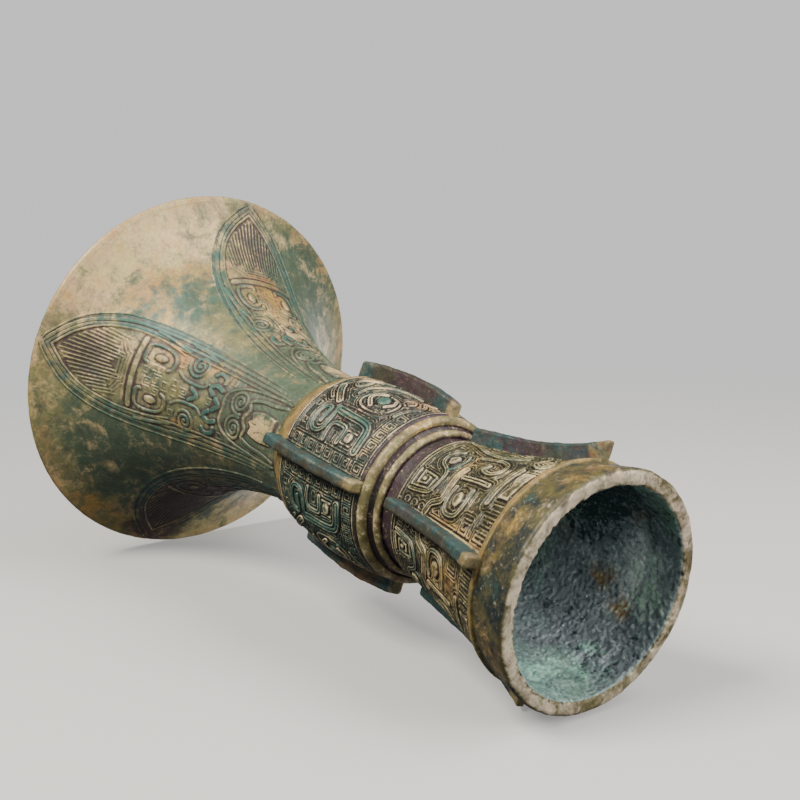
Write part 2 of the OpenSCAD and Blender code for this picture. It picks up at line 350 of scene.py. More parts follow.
def patina_group():
    group = bpy.data.node_groups.new("patina", "ShaderNodeTree")
    for names, kind in ((LAYERS, "NodeSocketColor"), (SHARES, "NodeSocketFloat")):
        for name in names:
            group.interface.new_socket(name=name, in_out="INPUT", socket_type=kind)
    for name, kind in (("Color", "Color"), ("Roughness", "Float"), ("Height", "Float")):
        group.interface.new_socket(name=name, in_out="OUTPUT", socket_type="NodeSocket" + kind)
    w = Wiring(group)
    given = group.nodes.new("NodeGroupInput").outputs
    broad = w.noise(38, 6, 0.66, 0.5, 1)
    middling = w.noise(190, 5, 0.62, 0.3, 2)
    grit = w.noise(760, 4, 0.68, 0.0, 3)
    drift = w.noise(150, 6, 0.66, 0.6, 4)
    crest = w.kept("crest")
    patches = w.plus(w.times(broad, 0.55), w.times(middling, 0.45))
    patches = w.plus(patches, w.times(w.kept("deep"), 0.45))
    edge = w.plus(w.times(w.less(1.0, given["Second body share"]), 0.36), 0.32)
    share = w.ramp(patches, w.less(edge, 0.11), w.plus(edge, 0.11))
    body = w.mix(share, given["Body"], given["Second body"])
    crust = w.plus(w.times(drift, 0.7), w.times(grit, 0.3))
    crust = w.plus(crust, w.times(w.kept("pale"), 0.35))
    edge = w.less(0.74, w.times(given["Pale share"], 0.4))
    body = w.mix(w.ramp(crust, w.less(edge, 0.12), w.plus(edge, 0.17)), body, given["Pale crust"])
    stained = w.plus(w.kept("stain"), w.swing(drift, 1.7))
    body = w.mix(w.ramp(stained, 0.25, 0.95), body, given["Stain"])
    green = w.plus(w.kept("figure"), w.plus(w.swing(middling, 2.0), w.swing(grit, 0.8)))
    body = w.mix(w.ramp(green, 0.35, 0.9), body, given["Figures"])
    pits = w.swing(grit, given["Pits"])
    # negative crest values, which carry painted shade from some zones, pull in the dark ground here
    sunk = w.less(w.plus(w.swing(middling, 0.7), pits), w.times(crest, given["Hollow depth"]))
    body = w.mix(w.ramp(sunk, 0.05, 0.55), body, given["Hollows"])
    # positive crest values, which in the foot's hollow carry painted light, pull in the pale crests
    # here
    proud = w.less(w.plus(w.times(crest, given["Crest rub"]), w.swing(drift, 1.2)), pits)
    body = w.mix(w.ramp(proud, 0.2, 0.85), body, given["Crests"])
    # pale flecks of crust; in the foot's hollow they are painted glints
    pale_fleck_and_glint = w.times(w.ramp(grit, 0.58, 0.68), given["Speckle and glint"])
    body = w.mix(pale_fleck_and_glint, body, given["Pale crust"])
    light = w.plus(w.times(w.ramp(grit, 0.25, 0.7), 0.32), w.times(w.ramp(drift, 0.3, 0.7), 0.34))
    turned = w.plus(w.times(w.less(broad, middling), 0.09), 0.5)
    varied = w.feed_all(w.new("HueSaturation"), Color=body, Value=w.plus(light, 0.66), Hue=turned)
    w.feed_all(group.nodes.new("NodeGroupOutput"), Color=varied.outputs["Color"],
               Roughness=w.plus(w.times(middling, 0.35), 0.34),
               Height=w.times(w.plus(middling, grit), 0.5))
    return group


patina = patina_group()
print("patina inputs:", LAYERS + SHARES)

# %% [markdown]
# The colours are the minerals seen on the vessel: teal and green copper carbonates, cream and ochre
# earth, tan bare metal at the rubbed edges, and purple-brown cuprite in the hollows. They are named
# here once, and each finish below picks seven of them in the order of the group's layers.

# %% Colours


def hue(*everyday):
    """A colour picked by its everyday 0 to 255 values, made linear."""
    return tuple(((c / 255 + 0.055) / 1.055)**2.4 for c in everyday) + (1,)


TEAL = hue(56, 90, 80)
DEEP_TEAL = hue(36, 64, 56)
SAGE = hue(116, 112, 76)
SEA_GREEN = hue(160, 186, 170)
OLIVE = hue(98, 92, 58)
MOSS = hue(88, 80, 48)
DARK_GREEN = hue(40, 44, 32)
OCHRE = hue(148, 114, 58)
GOLD = hue(158, 126, 74)
CREAM = hue(186, 170, 132)
PINK_CREAM = hue(180, 156, 114)
IVORY = hue(200, 186, 148)
FLESH = hue(202, 180, 144)
PALE_LILAC = hue(178, 184, 186)
LEATHER = hue(116, 88, 52)
BONE = hue(186, 172, 150)
TAN = hue(140, 114, 82)
BROWN_BLACK = hue(22, 16, 14)
UMBER = hue(56, 46, 36)
PURPLE_BROWN = hue(58, 42, 50)
MAUVE_BROWN = hue(62, 49, 46)
WINE_BLACK = hue(48, 38, 38)
NIGHT_TEAL = hue(16, 34, 40)
INK_TEAL = hue(112, 140, 130)
VERDIGRIS = hue(140, 188, 172)
SLATE_TEAL = hue(44, 74, 76)
POOL_GREEN = hue(74, 88, 70)
OLIVE_BROWN = hue(58, 54, 42)
DUSK_BLUE = hue(108, 116, 122)
STRAW = hue(134, 120, 82)
STEEL = hue(92, 108, 98)
print("colours: teal is", [round(c, 3) for c in TEAL])

# %% [markdown]
# A finish is a Principled shader that takes its colour, roughness and grain from the patina group. The
# belly and the foot have strong hollows, the ribs many pits and the foot's inside the coarsest grain.

# %% Finishes
METAL = 0.15
GRAIN = 0.25 * MM


def bronze(name, *layers, second=0.5, pale=0.3, hollow=1.0, rub=1.0, speckle_and_glint=0.5, pits=0.6, bump=0.35):
    material = bpy.data.materials.new(name)
    material.use_nodes = True
    w = Wiring(material.node_tree)
    mixed = w.new("Group", node_tree=patina)
    for label, value in zip(LAYERS + SHARES, layers + (second, pale, hollow, rub, speckle_and_glint, pits)):
        mixed.inputs[label].default_value = value
    rough = w.feed_all(w.new("Bump"), Distance=GRAIN, Strength=bump, Height=mixed.outputs["Height"])
    w.feed_all(w.nodes["Principled BSDF"], Base_Color=mixed.outputs["Color"],
               Roughness=mixed.outputs["Roughness"], Normal=rough.outputs["Normal"], Metallic=METAL)
    return material


cup_layers = (SAGE, POOL_GREEN, MAUVE_BROWN, CREAM, TEAL, OCHRE, PINK_CREAM)
trumpet_skin = bronze("trumpet_skin", *cup_layers, second=0.4, hollow=1.3, rub=0.6, speckle_and_glint=0.15)
lip_skin = bronze("lip_skin", *cup_layers, second=0.4, pale=0.35, speckle_and_glint=0.15)
cup_skin = bronze("cup_skin", DEEP_TEAL, OLIVE, BROWN_BLACK, TAN, TEAL, OCHRE, IVORY, pale=0.2)
belly_skin = bronze("belly_skin", WINE_BLACK, DEEP_TEAL, BROWN_BLACK, FLESH, TEAL, OCHRE, PINK_CREAM,
                    pale=0.2, hollow=2.2, rub=1.1)
foot_skin = bronze("foot_skin", MOSS, DARK_GREEN, BROWN_BLACK, CREAM, TEAL, GOLD, IVORY,
                   pale=0.2, hollow=2.2, rub=1.1)
flange_skin = bronze("flange_skin", SLATE_TEAL, OLIVE_BROWN, PURPLE_BROWN, STEEL, TEAL, LEATHER, STRAW,
                     second=0.38, pale=0.12, speckle_and_glint=0.3, pits=1.2)
shoulder_skin = bronze("shoulder_skin", GOLD, OLIVE, UMBER, CREAM, TEAL, OCHRE, CREAM,
                       second=0.55, pale=0.2, speckle_and_glint=0.3)
rib_skin = bronze("rib_skin", STRAW, OLIVE, PURPLE_BROWN, FLESH, TEAL, OCHRE, IVORY,
                  pale=0.25, speckle_and_glint=0.15, pits=2.6, bump=0.6)
waist_skin = bronze("waist_skin", PURPLE_BROWN, DARK_GREEN, BROWN_BLACK, CREAM, TEAL, OCHRE, CREAM,
                    second=0.3, pale=0.18, speckle_and_glint=0.35, pits=2.2)
ring_skin = bronze("ring_skin", MOSS, NIGHT_TEAL, BROWN_BLACK, SAGE, TEAL, OCHRE, BONE,
                   second=0.45, pale=0.2, speckle_and_glint=0.3, pits=1.2)
# a high speckle share: the hollow's pale flecks are painted glints
hollow_skin = bronze("hollow_skin", INK_TEAL, DUSK_BLUE, NIGHT_TEAL, SEA_GREEN, VERDIGRIS, LEATHER,
                     PALE_LILAC, second=0.4, pale=0.14, hollow=0.9, speckle_and_glint=0.6, pits=1.1, bump=1.0)
print("materials:", len(bpy.data.materials))

# %% [markdown]
# A turned wall is one closed half section carried round the axis. The points are close enough to
# take the lumps of corrosion, which move each point along the wall's own outward direction.

# %% Turn a closed section
LUMP_CREST = 1.2


def even(points, step):
    """The line again, with points at most one step apart."""
    line = [np.array(points[0], float)]
    for a, b in zip(points[:-1], points[1:]):
        a, b = np.array(a, float), np.array(b, float)
        count = max(1, int(math.ceil(math.hypot(*(b - a)) / step)))
        line += [a + (b - a) * (n + 1) / count for n in range(count)]
    return np.array(line)


def ring_corners(rows, around):
    """The numbers of the points of some rings, and of each point's next neighbour in its ring."""
    a = np.arange(rows)[:, None] * around + np.arange(around)[None]
    return a, a - np.arange(around) + (np.arange(around) + 1) % around


def turn(name, loop, around, lump, step=0.8, values=None, lining=None):
    """Carries a closed loop of (radius, height) round the axis; lump(points) is added outwards.

    Where lining(radius, height) is true, the faces take the piece's second material."""
    line = even(list(loop) + [loop[0]], step)[:-1]
    slope = np.roll(line, -1, 0) - np.roll(line, 1, 0)
    slope /= np.maximum(np.hypot(*slope.T), 1e-9)[:, None]
    normal = np.stack([slope[:, 1], -slope[:, 0]], 1)
    angle = np.linspace(0, 2 * math.pi, around, endpoint=False)
    spin = np.stack([np.cos(angle), np.sin(angle)], 1)

    def spread(pair):
        flat = pair[:, None, 0:1] * spin[None]
        return np.concatenate([flat, np.broadcast_to(pair[:, None, 1:2], flat.shape[:2] + (1,))], 2)

    points, out = spread(line), spread(normal)
    h = lump(points)
    points = points + out * h[..., None]
    a, b = ring_corners(len(line), around)
    faces = np.stack([a, b, np.roll(b, -1, 0), np.roll(a, -1, 0)], 2).reshape(-1, 4)
    flat = points.reshape(-1, 3)
    found = {"crest": LUMP_CREST * h.ravel()}
    for label, value in (values(flat) if values else {}).items():
        found[label] = found.get(label, 0) + value
    piece = lay_mesh(name, flat, [faces], values=found)
    if lining:
        inside = lining(line[:, 0], line[:, 1]).astype(np.int32)
        piece.data.polygons.foreach_set("material_index", np.repeat(inside, around))
    return piece


def skin(coarse, middling, fine):
    """The worn skin of one piece: a function that gives its height at any points."""
    return lambda points: worn(points, coarse, middling, fine)

# %% [markdown]
# On the real cup, cream earth sticks to one side of the mouth, copper green and teal spread lower down,
# and the leaf blades' tips are dark. The left blade also gets painted shade, a dark patch laid into its
# colour. Painting a picture would do, but soft zones by azimuth and height stay sharp at any distance
# and can be moved with one number.

# %% Where the cup's crusts and painted shade sit
QUARTERS = {"right": 0, "back": 90, "left": 180, "front": 270}


def trumpet_tones(base):
    """Cream and ochre on the mouth's front right, grey-green lower down, dark in the hatched tips,
    painted shade on the left blade.
    """
    tips = sum(zone(base, azimuth, 246, 10, 10) for azimuth in QUARTERS.values())
    knobs = sum(zone(base, azimuth, 161, 11, 7) for azimuth in QUARTERS.values())
    edge = ease(base[..., 2], 249, 259)
    pale = zones(base, (0.85, 315, 252, 34, 13), (0.45, 284, 226, 18, 14), (0.5, 140, 250, 30, 12),
                 (0.7, 2, 208, 17, 18), (0.5, 70, 246, 18, 8), (-0.7, 312, 172, 34, 18))
    deep = zones(base, (0.75, 226, 232, 26, 24), (1.3, 36, 232, 26, 28), (0.6, 318, 228, 14, 9),
                 (0.7, 130, 222, 30, 18), (0.7, 305, 173, 80, 22), (0.5, 120, 175, 80, 22))
    stain = zones(base, (0.6, 318, 237, 32, 13), (0.8, 2, 222, 15, 20), (0.7, 292, 212, 14, 25),
                  (0.6, 248, 205, 10, 25), (0.3, 205, 254, 20, 7), (0.5, 95, 230, 30, 20),
                  (0.25, 305, 172, 50, 18))
    spots = zones(base, (0.62, 312, 232, 30, 16), (0.4, 268, 200, 14, 10), (0.3, 200, 240, 30, 18),
                  (0.4, 40, 240, 26, 20), (0.35, 300, 205, 18, 16), (-0.6, 312, 170, 34, 18))
    # painted shade: a dark patch on the left blade, taken into the dark ground through negative crest
    # values
    left_blade_painted_shade = zones(base, (1.1, 180, 222, 15, 28))
    face_r = np.interp(base[..., 2], trumpet.points[:, 1], trumpet.points[:, 0])
    outside = np.hypot(base[..., 0], base[..., 1]) > face_r - cup_t / 2
    return {"pale": pale + 0.2 * edge + 0.9 * knobs + 0.3 * lumps(base, 5, 9),
            "figure": spots,
            "deep": deep - 0.4 * edge + 0.2 * lumps(base, 7, 10),
            "stain": stain + 0.4 * edge + 0.15 * lumps(base, 22, 8) + 0.15 * lumps(base, 8, 11),
            "crest": -(0.42 * tips + left_blade_painted_shade) * outside}


cup_lump = skin(0.1, 0.07, 0.05)
print("blades and flanges stand at", list(QUARTERS.values()), "degrees")

# %% [markdown]
# The cup is one smooth wall that opens into a trumpet. It is built as two lengths, neck and trumpet,
# and a rounded lip, because each is a piece of its own in the frame. Two walls that only touch show a
# seam, so each length laps into its neighbour and sinks a little under its skin. The inside takes a
# second, darker material.

# %% Cup: trumpet, neck and lip
SINK = 0.7
LAP = 3
LIP_PROUD = 0.06
LIP_STEP = 0.7


def offset_line(section, out, start=0.0, end=1.0, count=90):
    """A line beside a section line, at one distance or at one for each point."""
    r, z, nr, nz = section.at(np.linspace(start, end, count) * section.length)
    return np.stack([r + nr * out, z + nz * out], 1)


def cup_inside(r, z):
    """True for points of a half section that lie on the cup's inner face."""
    away = np.hypot(r[:, None] - trumpet.points[:, 0], z[:, None] - trumpet.points[:, 1])
    return away.min(1) > cup_t / 2


def cup_wall(name, start, end, lap_start, lap_end, node):
    """A stretch of the cup's wall. At a lap it sinks under its neighbour, so that no seam shows."""
    s = np.linspace(max(0, start - lap_start), min(trumpet.length, end + lap_end), 200)
    out = np.interp(s, [end, end + lap_end + 0.01], [0, -SINK])
    if lap_start:
        out = out + np.interp(s, [start - lap_start - 0.01, start], [-SINK, 0])
    r, z, nr, nz = trumpet.at(s)
    outer = np.stack([r + nr * out, z + nz * out], 1)
    inner = np.stack([r - nr * (cup_t + out), z - nz * (cup_t + out)], 1)[::-1]
    piece = turn(name, np.concatenate([outer, inner]), 620, cup_lump, 0.9, trumpet_tones, cup_inside)
    dress(piece, node, (trumpet_skin, cup_skin), node)


neck_end = float(trumpet.where(z_neck + 28))
lip_start = trumpet.length - 2.2
cup_wall("trumpet", neck_end, trumpet.length - 0.4, LAP, 0, "trumpet_wall")
cup_wall("neck", 0, neck_end, 0, LAP, "neck_wall")
lip_share = lip_start / trumpet.length
lip_along = np.linspace(lip_start, trumpet.length, 9)
proud = np.interp(lip_along, [lip_start, lip_start + LIP_STEP], [-0.3, LIP_PROUD])
lip_outer = offset_line(trumpet, proud, lip_share, 1, 9)
lip_inner = offset_line(trumpet, -cup_t - proud, lip_share, 1, 9)[::-1]
bead = [lip_middle + (cup_t / 2 + LIP_PROUD) * np.array([math.cos(a), math.sin(a)])
        for a in np.linspace(flare_angle - math.pi / 2, flare_angle + math.pi / 2, 12)]
lip_loop = np.concatenate([lip_outer[:-1], bead, lip_inner[1:]])
dress(turn("lip", lip_loop, 700, cup_lump, 0.45, trumpet_tones), "mouth_lip", lip_skin, "mouth_lip")

# %% [markdown]
# The shoulder is the smooth golden band above the belly's masks, and the waist the dark one below
# them. Both are turned like the cup. The belly's own wall lies behind its relief and shows only from
# inside, so it is turned a little smaller than the solid, and the relief covers it.

# %% Shoulder, belly wall and waist
BEHIND_RELIEF = -0.9
belly_in_r = belly_edge_r - 3
cup_foot = offset_line(trumpet, -cup_t, 0, 0.01, 2)[0]
shoulder_loop = np.concatenate([offset_line(shoulder, 0), [cup_foot, (belly_in_r, z_shoulder)]])
shoulder_piece = turn("shoulder", shoulder_loop, 420, skin(0.12, 0.12, 0.07), 0.6)
dress(shoulder_piece, "shoulder_band", shoulder_skin, "shoulder_band")
belly_loop = np.concatenate([offset_line(belly, BEHIND_RELIEF),
                             [(belly_in_r, z_shoulder), (belly_in_r, z_belly)]])
belly_piece = turn("belly_inside", belly_loop, 300, skin(0.1, 0.1, 0.05), 1.0)
dress(belly_piece, "belly_wall", cup_skin, "belly_wall")
waist_loop = [(waist_r, z_waist), (waist_r, floor_low), (belly_edge_r, z_belly), (belly_in_r, z_belly),
              (floor_r, floor_top), (floor_r, z_waist)]
waist_piece = turn("waist", waist_loop, 360, skin(0.1, 0.12, 0.08), 0.6)
dress(waist_piece, "waist_band", waist_skin, "waist_band")

# %% [markdown]
# Two raised strings run round the waist. A founder presses them into the mould with a cord, so each is
# a round bead half sunk in the wall: a small circle turned about the axis.

# %% String ribs


def rib_tones(points):
    """The rubbed tops of the ribs are pale; their feet keep the dark of the grooves."""
    r = np.hypot(points[..., 0], points[..., 1])
    wall_r = np.interp(points[..., 2], [z_waist, floor_low, z_belly], [waist_r, waist_r, belly_edge_r])
    out = ease(r - wall_r, 0.3, 1.6)
    return {"crest": 0.9 * out - 0.7 + 0.4 * lumps(points, 1.3, 12),
            "stain": zones(points, (0.6, 330, 88, 20, 8), (0.5, 120, 88, 30, 8))}


def rib(name, drop, radius, node):
    """drop is how far the rib's middle lies below the belly."""
    slope = (belly_edge_r - waist_r) / (z_belly - floor_low)
    middle = np.array([belly_edge_r - slope * drop, z_belly - drop])
    loop = [middle + radius * np.array([math.cos(a), math.sin(a)])
            for a in np.linspace(0, 2 * math.pi, 24, endpoint=False)]
    dress(turn(name, loop, 520, skin(0.05, 0.03, 0.06), 0.4, rib_tones), "string_ribs", rib_skin, node)


rib("upper_rib", 2.5, 2.0, "upper_string_rib")
rib("lower_rib", 6.6, 1.6, "lower_string_rib")

# %% [markdown]
# The foot is hollow, and the hollow is what the picture looks into. A plain band at the bottom carries
# the vessel, a ridge runs above it and the flared wall rises to the waist. The hollow's face is cast
# rough, with grown crystals, so it gets larger lumps and a finish of its own.

# %% Foot: ring, ridge and wall
EDGE_R = 2.0
MEET = 1.5
GRAIN_FROM_R, GRAIN_FULL_R = 38.2, 36.8
foot_in = offset_line(foot, -wall_t)
foot_in_r = foot_rim_r - ring_width


def rounded(corner, before, after, radius):
    """A soft corner: points from one side to the other, bowed towards the corner."""
    corner, a, b = [np.array(p, float) for p in (corner, before, after)]
    a = corner + (a - corner) * radius / np.hypot(*(a - corner))
    b = corner + (b - corner) * radius / np.hypot(*(b - corner))
    t = np.linspace(0, 1, 7)[:, None]
    return a * (1 - t)**2 + 2 * corner * t * (1 - t) + b * t * t


def hollow_line(start, end, sunk_from, sunk_to):
    """The hollow's wall as a line. Past sunk_from it sinks into the metal under its neighbour."""
    s = np.linspace(start, end, 60)
    sunk = SINK * np.clip((s - sunk_from) / (sunk_to - sunk_from), 0, 1)
    return offset_line(foot, sunk - wall_t, start / foot.length, end / foot.length, 60)


outer_edge_r = 1.35 * EDGE_R
outer_corner = rounded((foot_rim_r, 0), (foot_in_r, 0), ring.points[80], outer_edge_r)
inner_corner = rounded((foot_in_r, 0), foot_in[0], (foot_rim_r, 0), EDGE_R)
ring_face = offset_line(ring, 0)
ring_loop = np.concatenate([inner_corner, outer_corner, ring_face[ring_face[:, 1] > outer_edge_r],
                            hollow_line(0, LAP, MEET, LAP)[::-1]])
print("the hollow is", round(2 * foot_in_r, 1), "mm wide at its mouth")

# %% [markdown]
# The hollow's own skin is a coarse grain of crystals, and its crusts sit on the side where the vessel
# lay. Its lit lower side and right wall are brightened with painted light, and its upper part is
# darkened with painted shade. The standing band belongs to both: outside it is plain bronze, inside it
# passes into the grain, so its lumps and its values are chosen point by point.

# %% Skins of the hollow and the standing band


def in_hollow(r, z):
    """True for points of the ring that belong to the hollow's face."""
    return (r < foot_in_r + 0.9) & (z > 0.7)


def hollow_lump(points):
    """The common lumps and, over them, a grain of about a millimetre."""
    grain = 0.3 * lumps(points, 1.1, 5) + 0.24 * lumps(points, 0.6, 6)
    return worn(points, 0.2, 0.12, 0.08) + grain


def hollow_tones(points):
    """Turquoise and pale crust on the lying side, rust in spots; painted light there and on the right
    wall, painted shade above.
    """
    # the turquoise is the crust's own colour; its brightness on the lying side is painted light
    return {"figure": zones(points, (0.8, 225, 18, 50, 34), (0.5, 150, 15, 40, 14)),
            "deep": zones(points, (0.9, 90, 24, 45, 22)),
            "stain": zones(points, (0.4, 75, 46, 22, 9), (0.8, 94, 29, 9, 6), (0.8, 106, 18, 9, 5),
                           (0.5, 48, 16, 14, 8)),
            "pale": zones(points, (0.5, 100, 18, 18, 8), (0.45, 132, 12, 14, 6), (0.45, 84, 36, 10, 6),
                          (0.3, 235, 12, 30, 12), (0.7, 74, 16, 20, 11)),
            # painted shade in the upper part from the negative zones, painted light on the right and
            # lower walls from the positive zones
            "crest": zones(points, (-1.0, 350, 36, 45, 28), (-0.7, 30, 34, 35, 16),
                           (0.4, 88, 14, 25, 12), (0.15, 200, 14, 50, 16))}


def ring_lump(points):
    """Fine lumps outside that pass into the hollow's grain between two radii."""
    r = np.hypot(points[..., 0], points[..., 1])
    inside = ease(r, GRAIN_FROM_R, GRAIN_FULL_R)
    return (1 - inside) * worn(points, 0.14, 0.16, 0.08) + inside * hollow_lump(points)


def ring_tones(points):
    """Cream on the worn underside, darker where it lay lowest, ochre and green patches outside."""
    r, z = np.hypot(points[..., 0], points[..., 1]), points[..., 2]
    under = ease(z, 0.9, 0.0)
    worn_off = zones(points, (0.38, 80, 0, 34, 30), (0.42, 160, 0, 34, 30), (0.3, 20, 0, 20, 30))
    green = zones(points, (0.5, 262, 9, 12, 6), (0.45, 312, 14, 12, 5))
    found = {"pale": (0.75 - worn_off) * under,
             "deep": -0.5 * under,
             "figure": 0.3 * worn_off * under + green,
             "stain": zones(points, (0.6, 288, 12, 16, 6), (0.6, 335, 5, 20, 6), (0.5, 230, 8, 20, 9),
                            (0.5, 100, 9, 30, 9)),
             "crest": 0 * r}
    within = hollow_tones(points)
    return {label: np.where(in_hollow(r, z), within[label], value) for label, value in found.items()}

# %% [markdown]
# Three turned pieces make up the foot: the band it stands on, the ridge, which is a small step above
# it, and the wall. The wall's outer face lies behind the masks and isn't seen.

# %% Turn the foot
ring_piece = turn("foot_band", ring_loop, 520, ring_lump, 0.5, ring_tones, in_hollow)
dress(ring_piece, "foot_ring", (ring_skin, hollow_skin), "foot_ring")
ridge_share = ridge_h / foot.length
ridge_loop = np.concatenate([offset_line(foot, ridge_out, 0, ridge_share, 6),
                             offset_line(foot, BEHIND_RELIEF, 0, ridge_share, 6)[::-1]])
ridge_piece = turn("ridge", ridge_loop, 480, skin(0.1, 0.12, 0.08), 0.5)
dress(ridge_piece, "foot_ridge", shoulder_skin, "foot_ridge")
foot_loop = np.concatenate([offset_line(foot, BEHIND_RELIEF),
                            hollow_line(0, foot.length, MEET, 0)[::-1]])
foot_piece = turn("foot_inside", foot_loop, 460, hollow_lump, 0.5, hollow_tones)
dress(foot_piece, "foot_wall", hollow_skin, "foot_wall")

# %% [markdown]
# The cup's floor closes the foot's hollow from above. A disc has no hole at the axis, so it is made of
# rings of points, first below and then above, with one more point at each pole.

# %% Floor
DISC_WEAR = 0.7


def disc(name, radius, low_z, high_z, rings, around):
    angle = np.linspace(0, 2 * math.pi, around, endpoint=False)
    spin = np.stack([np.cos(angle), np.sin(angle), 0 * angle], 1)
    radii = np.linspace(0, radius, rings + 1)[1:]
    below = np.concatenate([r * spin + [0, 0, low_z] for r in radii])
    above = np.concatenate([r * spin + [0, 0, high_z] for r in radii[::-1]])
    points = np.concatenate([below, above])
    h = hollow_lump(points)
    points[:len(below), 2] -= DISC_WEAR * h[:len(below)]
    points[len(below):, 2] += DISC_WEAR * h[len(below):]
    points = np.concatenate([points, [[0, 0, low_z], [0, 0, high_z]]])
    rows = 2 * rings
    a, b = ring_corners(rows - 1, around)
    quads = np.stack([a, b, b + around, a + around], 2).reshape(-1, 4)
    n = np.arange(around)
    m = (n + 1) % around
    last = (rows - 1) * around
    caps = np.concatenate([np.stack([np.full(around, len(points) - 2), m, n], 1),
                           np.stack([np.full(around, len(points) - 1), last + n, last + m], 1)])
    crest = np.concatenate([h, [0, 0]])
    return lay_mesh(name, points, [quads, caps], values={"crest": crest})


dress(disc("floor", floor_r, floor_low, floor_top, 45, 200), "cup_floor", hollow_skin, "cup_floor")

# %% [markdown]
# Relief is drawn on a grid laid over one quarter of the vessel. Each line, band and boss raises the
# grid near it. The class keeps the height, how much of each point is already taken, and how green
# the figure there is, so that the ground can be filled with small spirals afterwards.

# %% The relief sheet


class Sheet:
    """Heights, free distances and greenness over a grid, and the strokes that draw on it."""

    def __init__(self, across, up):
        """across and up give each grid point's place in millimetres, as two arrays of one shape."""
        self.x, self.y = across, up
        self.h = np.zeros(across.shape)
        self.free = np.full(across.shape, 9.0)
        self.green = np.zeros(across.shape)

    def window(self, x0, y0, x1, y1):
        """The rows and columns that hold a box, or None when it lies outside the sheet."""
        rows = np.nonzero((self.y[:, 0] >= y0) & (self.y[:, 0] <= y1))[0]
        if not len(rows):
            return None
        r = slice(rows[0], rows[-1] + 1)
        part = self.x[r]
        cols = np.nonzero((part.max(0) >= x0) & (part.min(0) <= x1))[0]
        if not len(cols):
            return None
        return r, slice(cols[0], cols[-1] + 1)

    def distance(self, line, margin, closed=False):
        """The window round a line and the distance of its points from the line."""
        p = np.array(line, float)
        if closed:
            p = np.concatenate([p, p[:1]])
        w = self.window(*(p.min(0) - margin), *(p.max(0) + margin))
        if w is None:
            return None, None
        x, y = self.x[w], self.y[w]
        best = np.full(x.shape, 99.0)
        for (ax, ay), (bx, by) in zip(p[:-1], p[1:]):
            dx, dy = bx - ax, by - ay
            span = dx * dx + dy * dy + 1e-12
            t = np.clip(((x - ax) * dx + (y - ay) * dy) / span, 0, 1)
            best = np.minimum(best, np.hypot(x - ax - t * dx, y - ay - t * dy))
        return w, best

    def raise_to(self, w, beyond, body, height, green):
        """Raises a window to height times body; beyond is the distance from the form's edge."""
        self.h[w] = np.maximum(self.h[w], height * body)
        self.free[w] = np.minimum(self.free[w], beyond)
        self.green[w] = np.maximum(self.green[w], green * body)

    def ridge(self, line, width, height, green=0.0, soft=0.2):
        w, d = self.distance(line, width / 2 + 3)
        if w is not None:
            body = ease(d, width / 2 + soft, width / 2 - soft)
            self.raise_to(w, d - width / 2, body, height, green)

    def groove(self, line, width, depth):
        w, d = self.distance(line, width / 2 + 1)
        if w is not None:
            self.h[w] -= depth * ease(d, width / 2 + 0.2, width / 2 - 0.2)

    def band(self, line, width, height, green):
        """A broad band with fine engraved lines along it: one in a narrow band, else a pair."""
        self.ridge(line, width, height, green, 0.22)
        w, d = self.distance(line, width / 2 + 1)
        if w is not None:
            out = 0 if width < 2.4 else 0.24 * width
            self.h[w] -= 0.32 * ease(np.abs(d - out), 0.42, 0.12)

    def boss(self, x, y, rx, ry=None, height=1.1, turn=0.0, green=0.0):
        ry = ry or rx
        reach_out = max(rx, ry) + 3
        w = self.window(x - reach_out, y - reach_out, x + reach_out, y + reach_out)
        if w is None:
            return
        c, s = math.cos(math.radians(turn)), math.sin(math.radians(turn))
        dx, dy = self.x[w] - x, self.y[w] - y
        q = np.hypot((c * dx + s * dy) / rx, (c * dy - s * dx) / ry)
        self.h[w] = np.maximum(self.h[w], height * np.sqrt(np.clip(1 - q**3, 0, 1)))
        self.free[w] = np.minimum(self.free[w], (q - 1) * min(rx, ry))
        self.green[w] = np.maximum(self.green[w], green * ease(q, 1.1, 0.9))

    def plate(self, outline, height, green=0.0, soft=0.25):
        """Raises the inside of a closed outline to one level."""
        w, d = self.distance(outline, 3, True)
        if w is None:
            return
        x, y = self.x[w], self.y[w]
        inside = np.zeros(x.shape, bool)
        for (ax, ay), (bx, by) in zip(outline, list(outline[1:]) + [outline[0]]):
            if ay != by:
                crosses = (ay > y) != (by > y)
                inside ^= crosses & (x < ax + (y - ay) * (bx - ax) / (by - ay))
        signed = np.where(inside, -d, d)
        self.raise_to(w, signed, ease(signed, soft, -soft), height, green)

# %% [markdown]
# The ground is filled with thunder pattern: square spirals of thin raised line. Each spiral is one
# line that winds in. Places are tried in rows, and a spiral goes wherever its cell is still free.

# %% Spirals
GROUND_GAP = 0.45
GROUND_HEIGHT = 0.3
ECHO_HEIGHT = 0.28


def smooth(points, count=10):
    """A soft curve through a few points."""
    p = np.array(points, float)
    p = np.concatenate([[2 * p[0] - p[1]], p, [2 * p[-1] - p[-2]]])
    line = []
    for a, b, c, d in zip(p[:-3], p[1:-2], p[2:-1], p[3:]):
        for t in np.linspace(0, 1, count, endpoint=False):
            line.append(0.5 * (2 * b + (c - a) * t + (2 * a - 5 * b + 4 * c - d) * t * t
                               + (3 * b - a - 3 * c + d) * t**3))
    return np.array(line + [p[-2]])


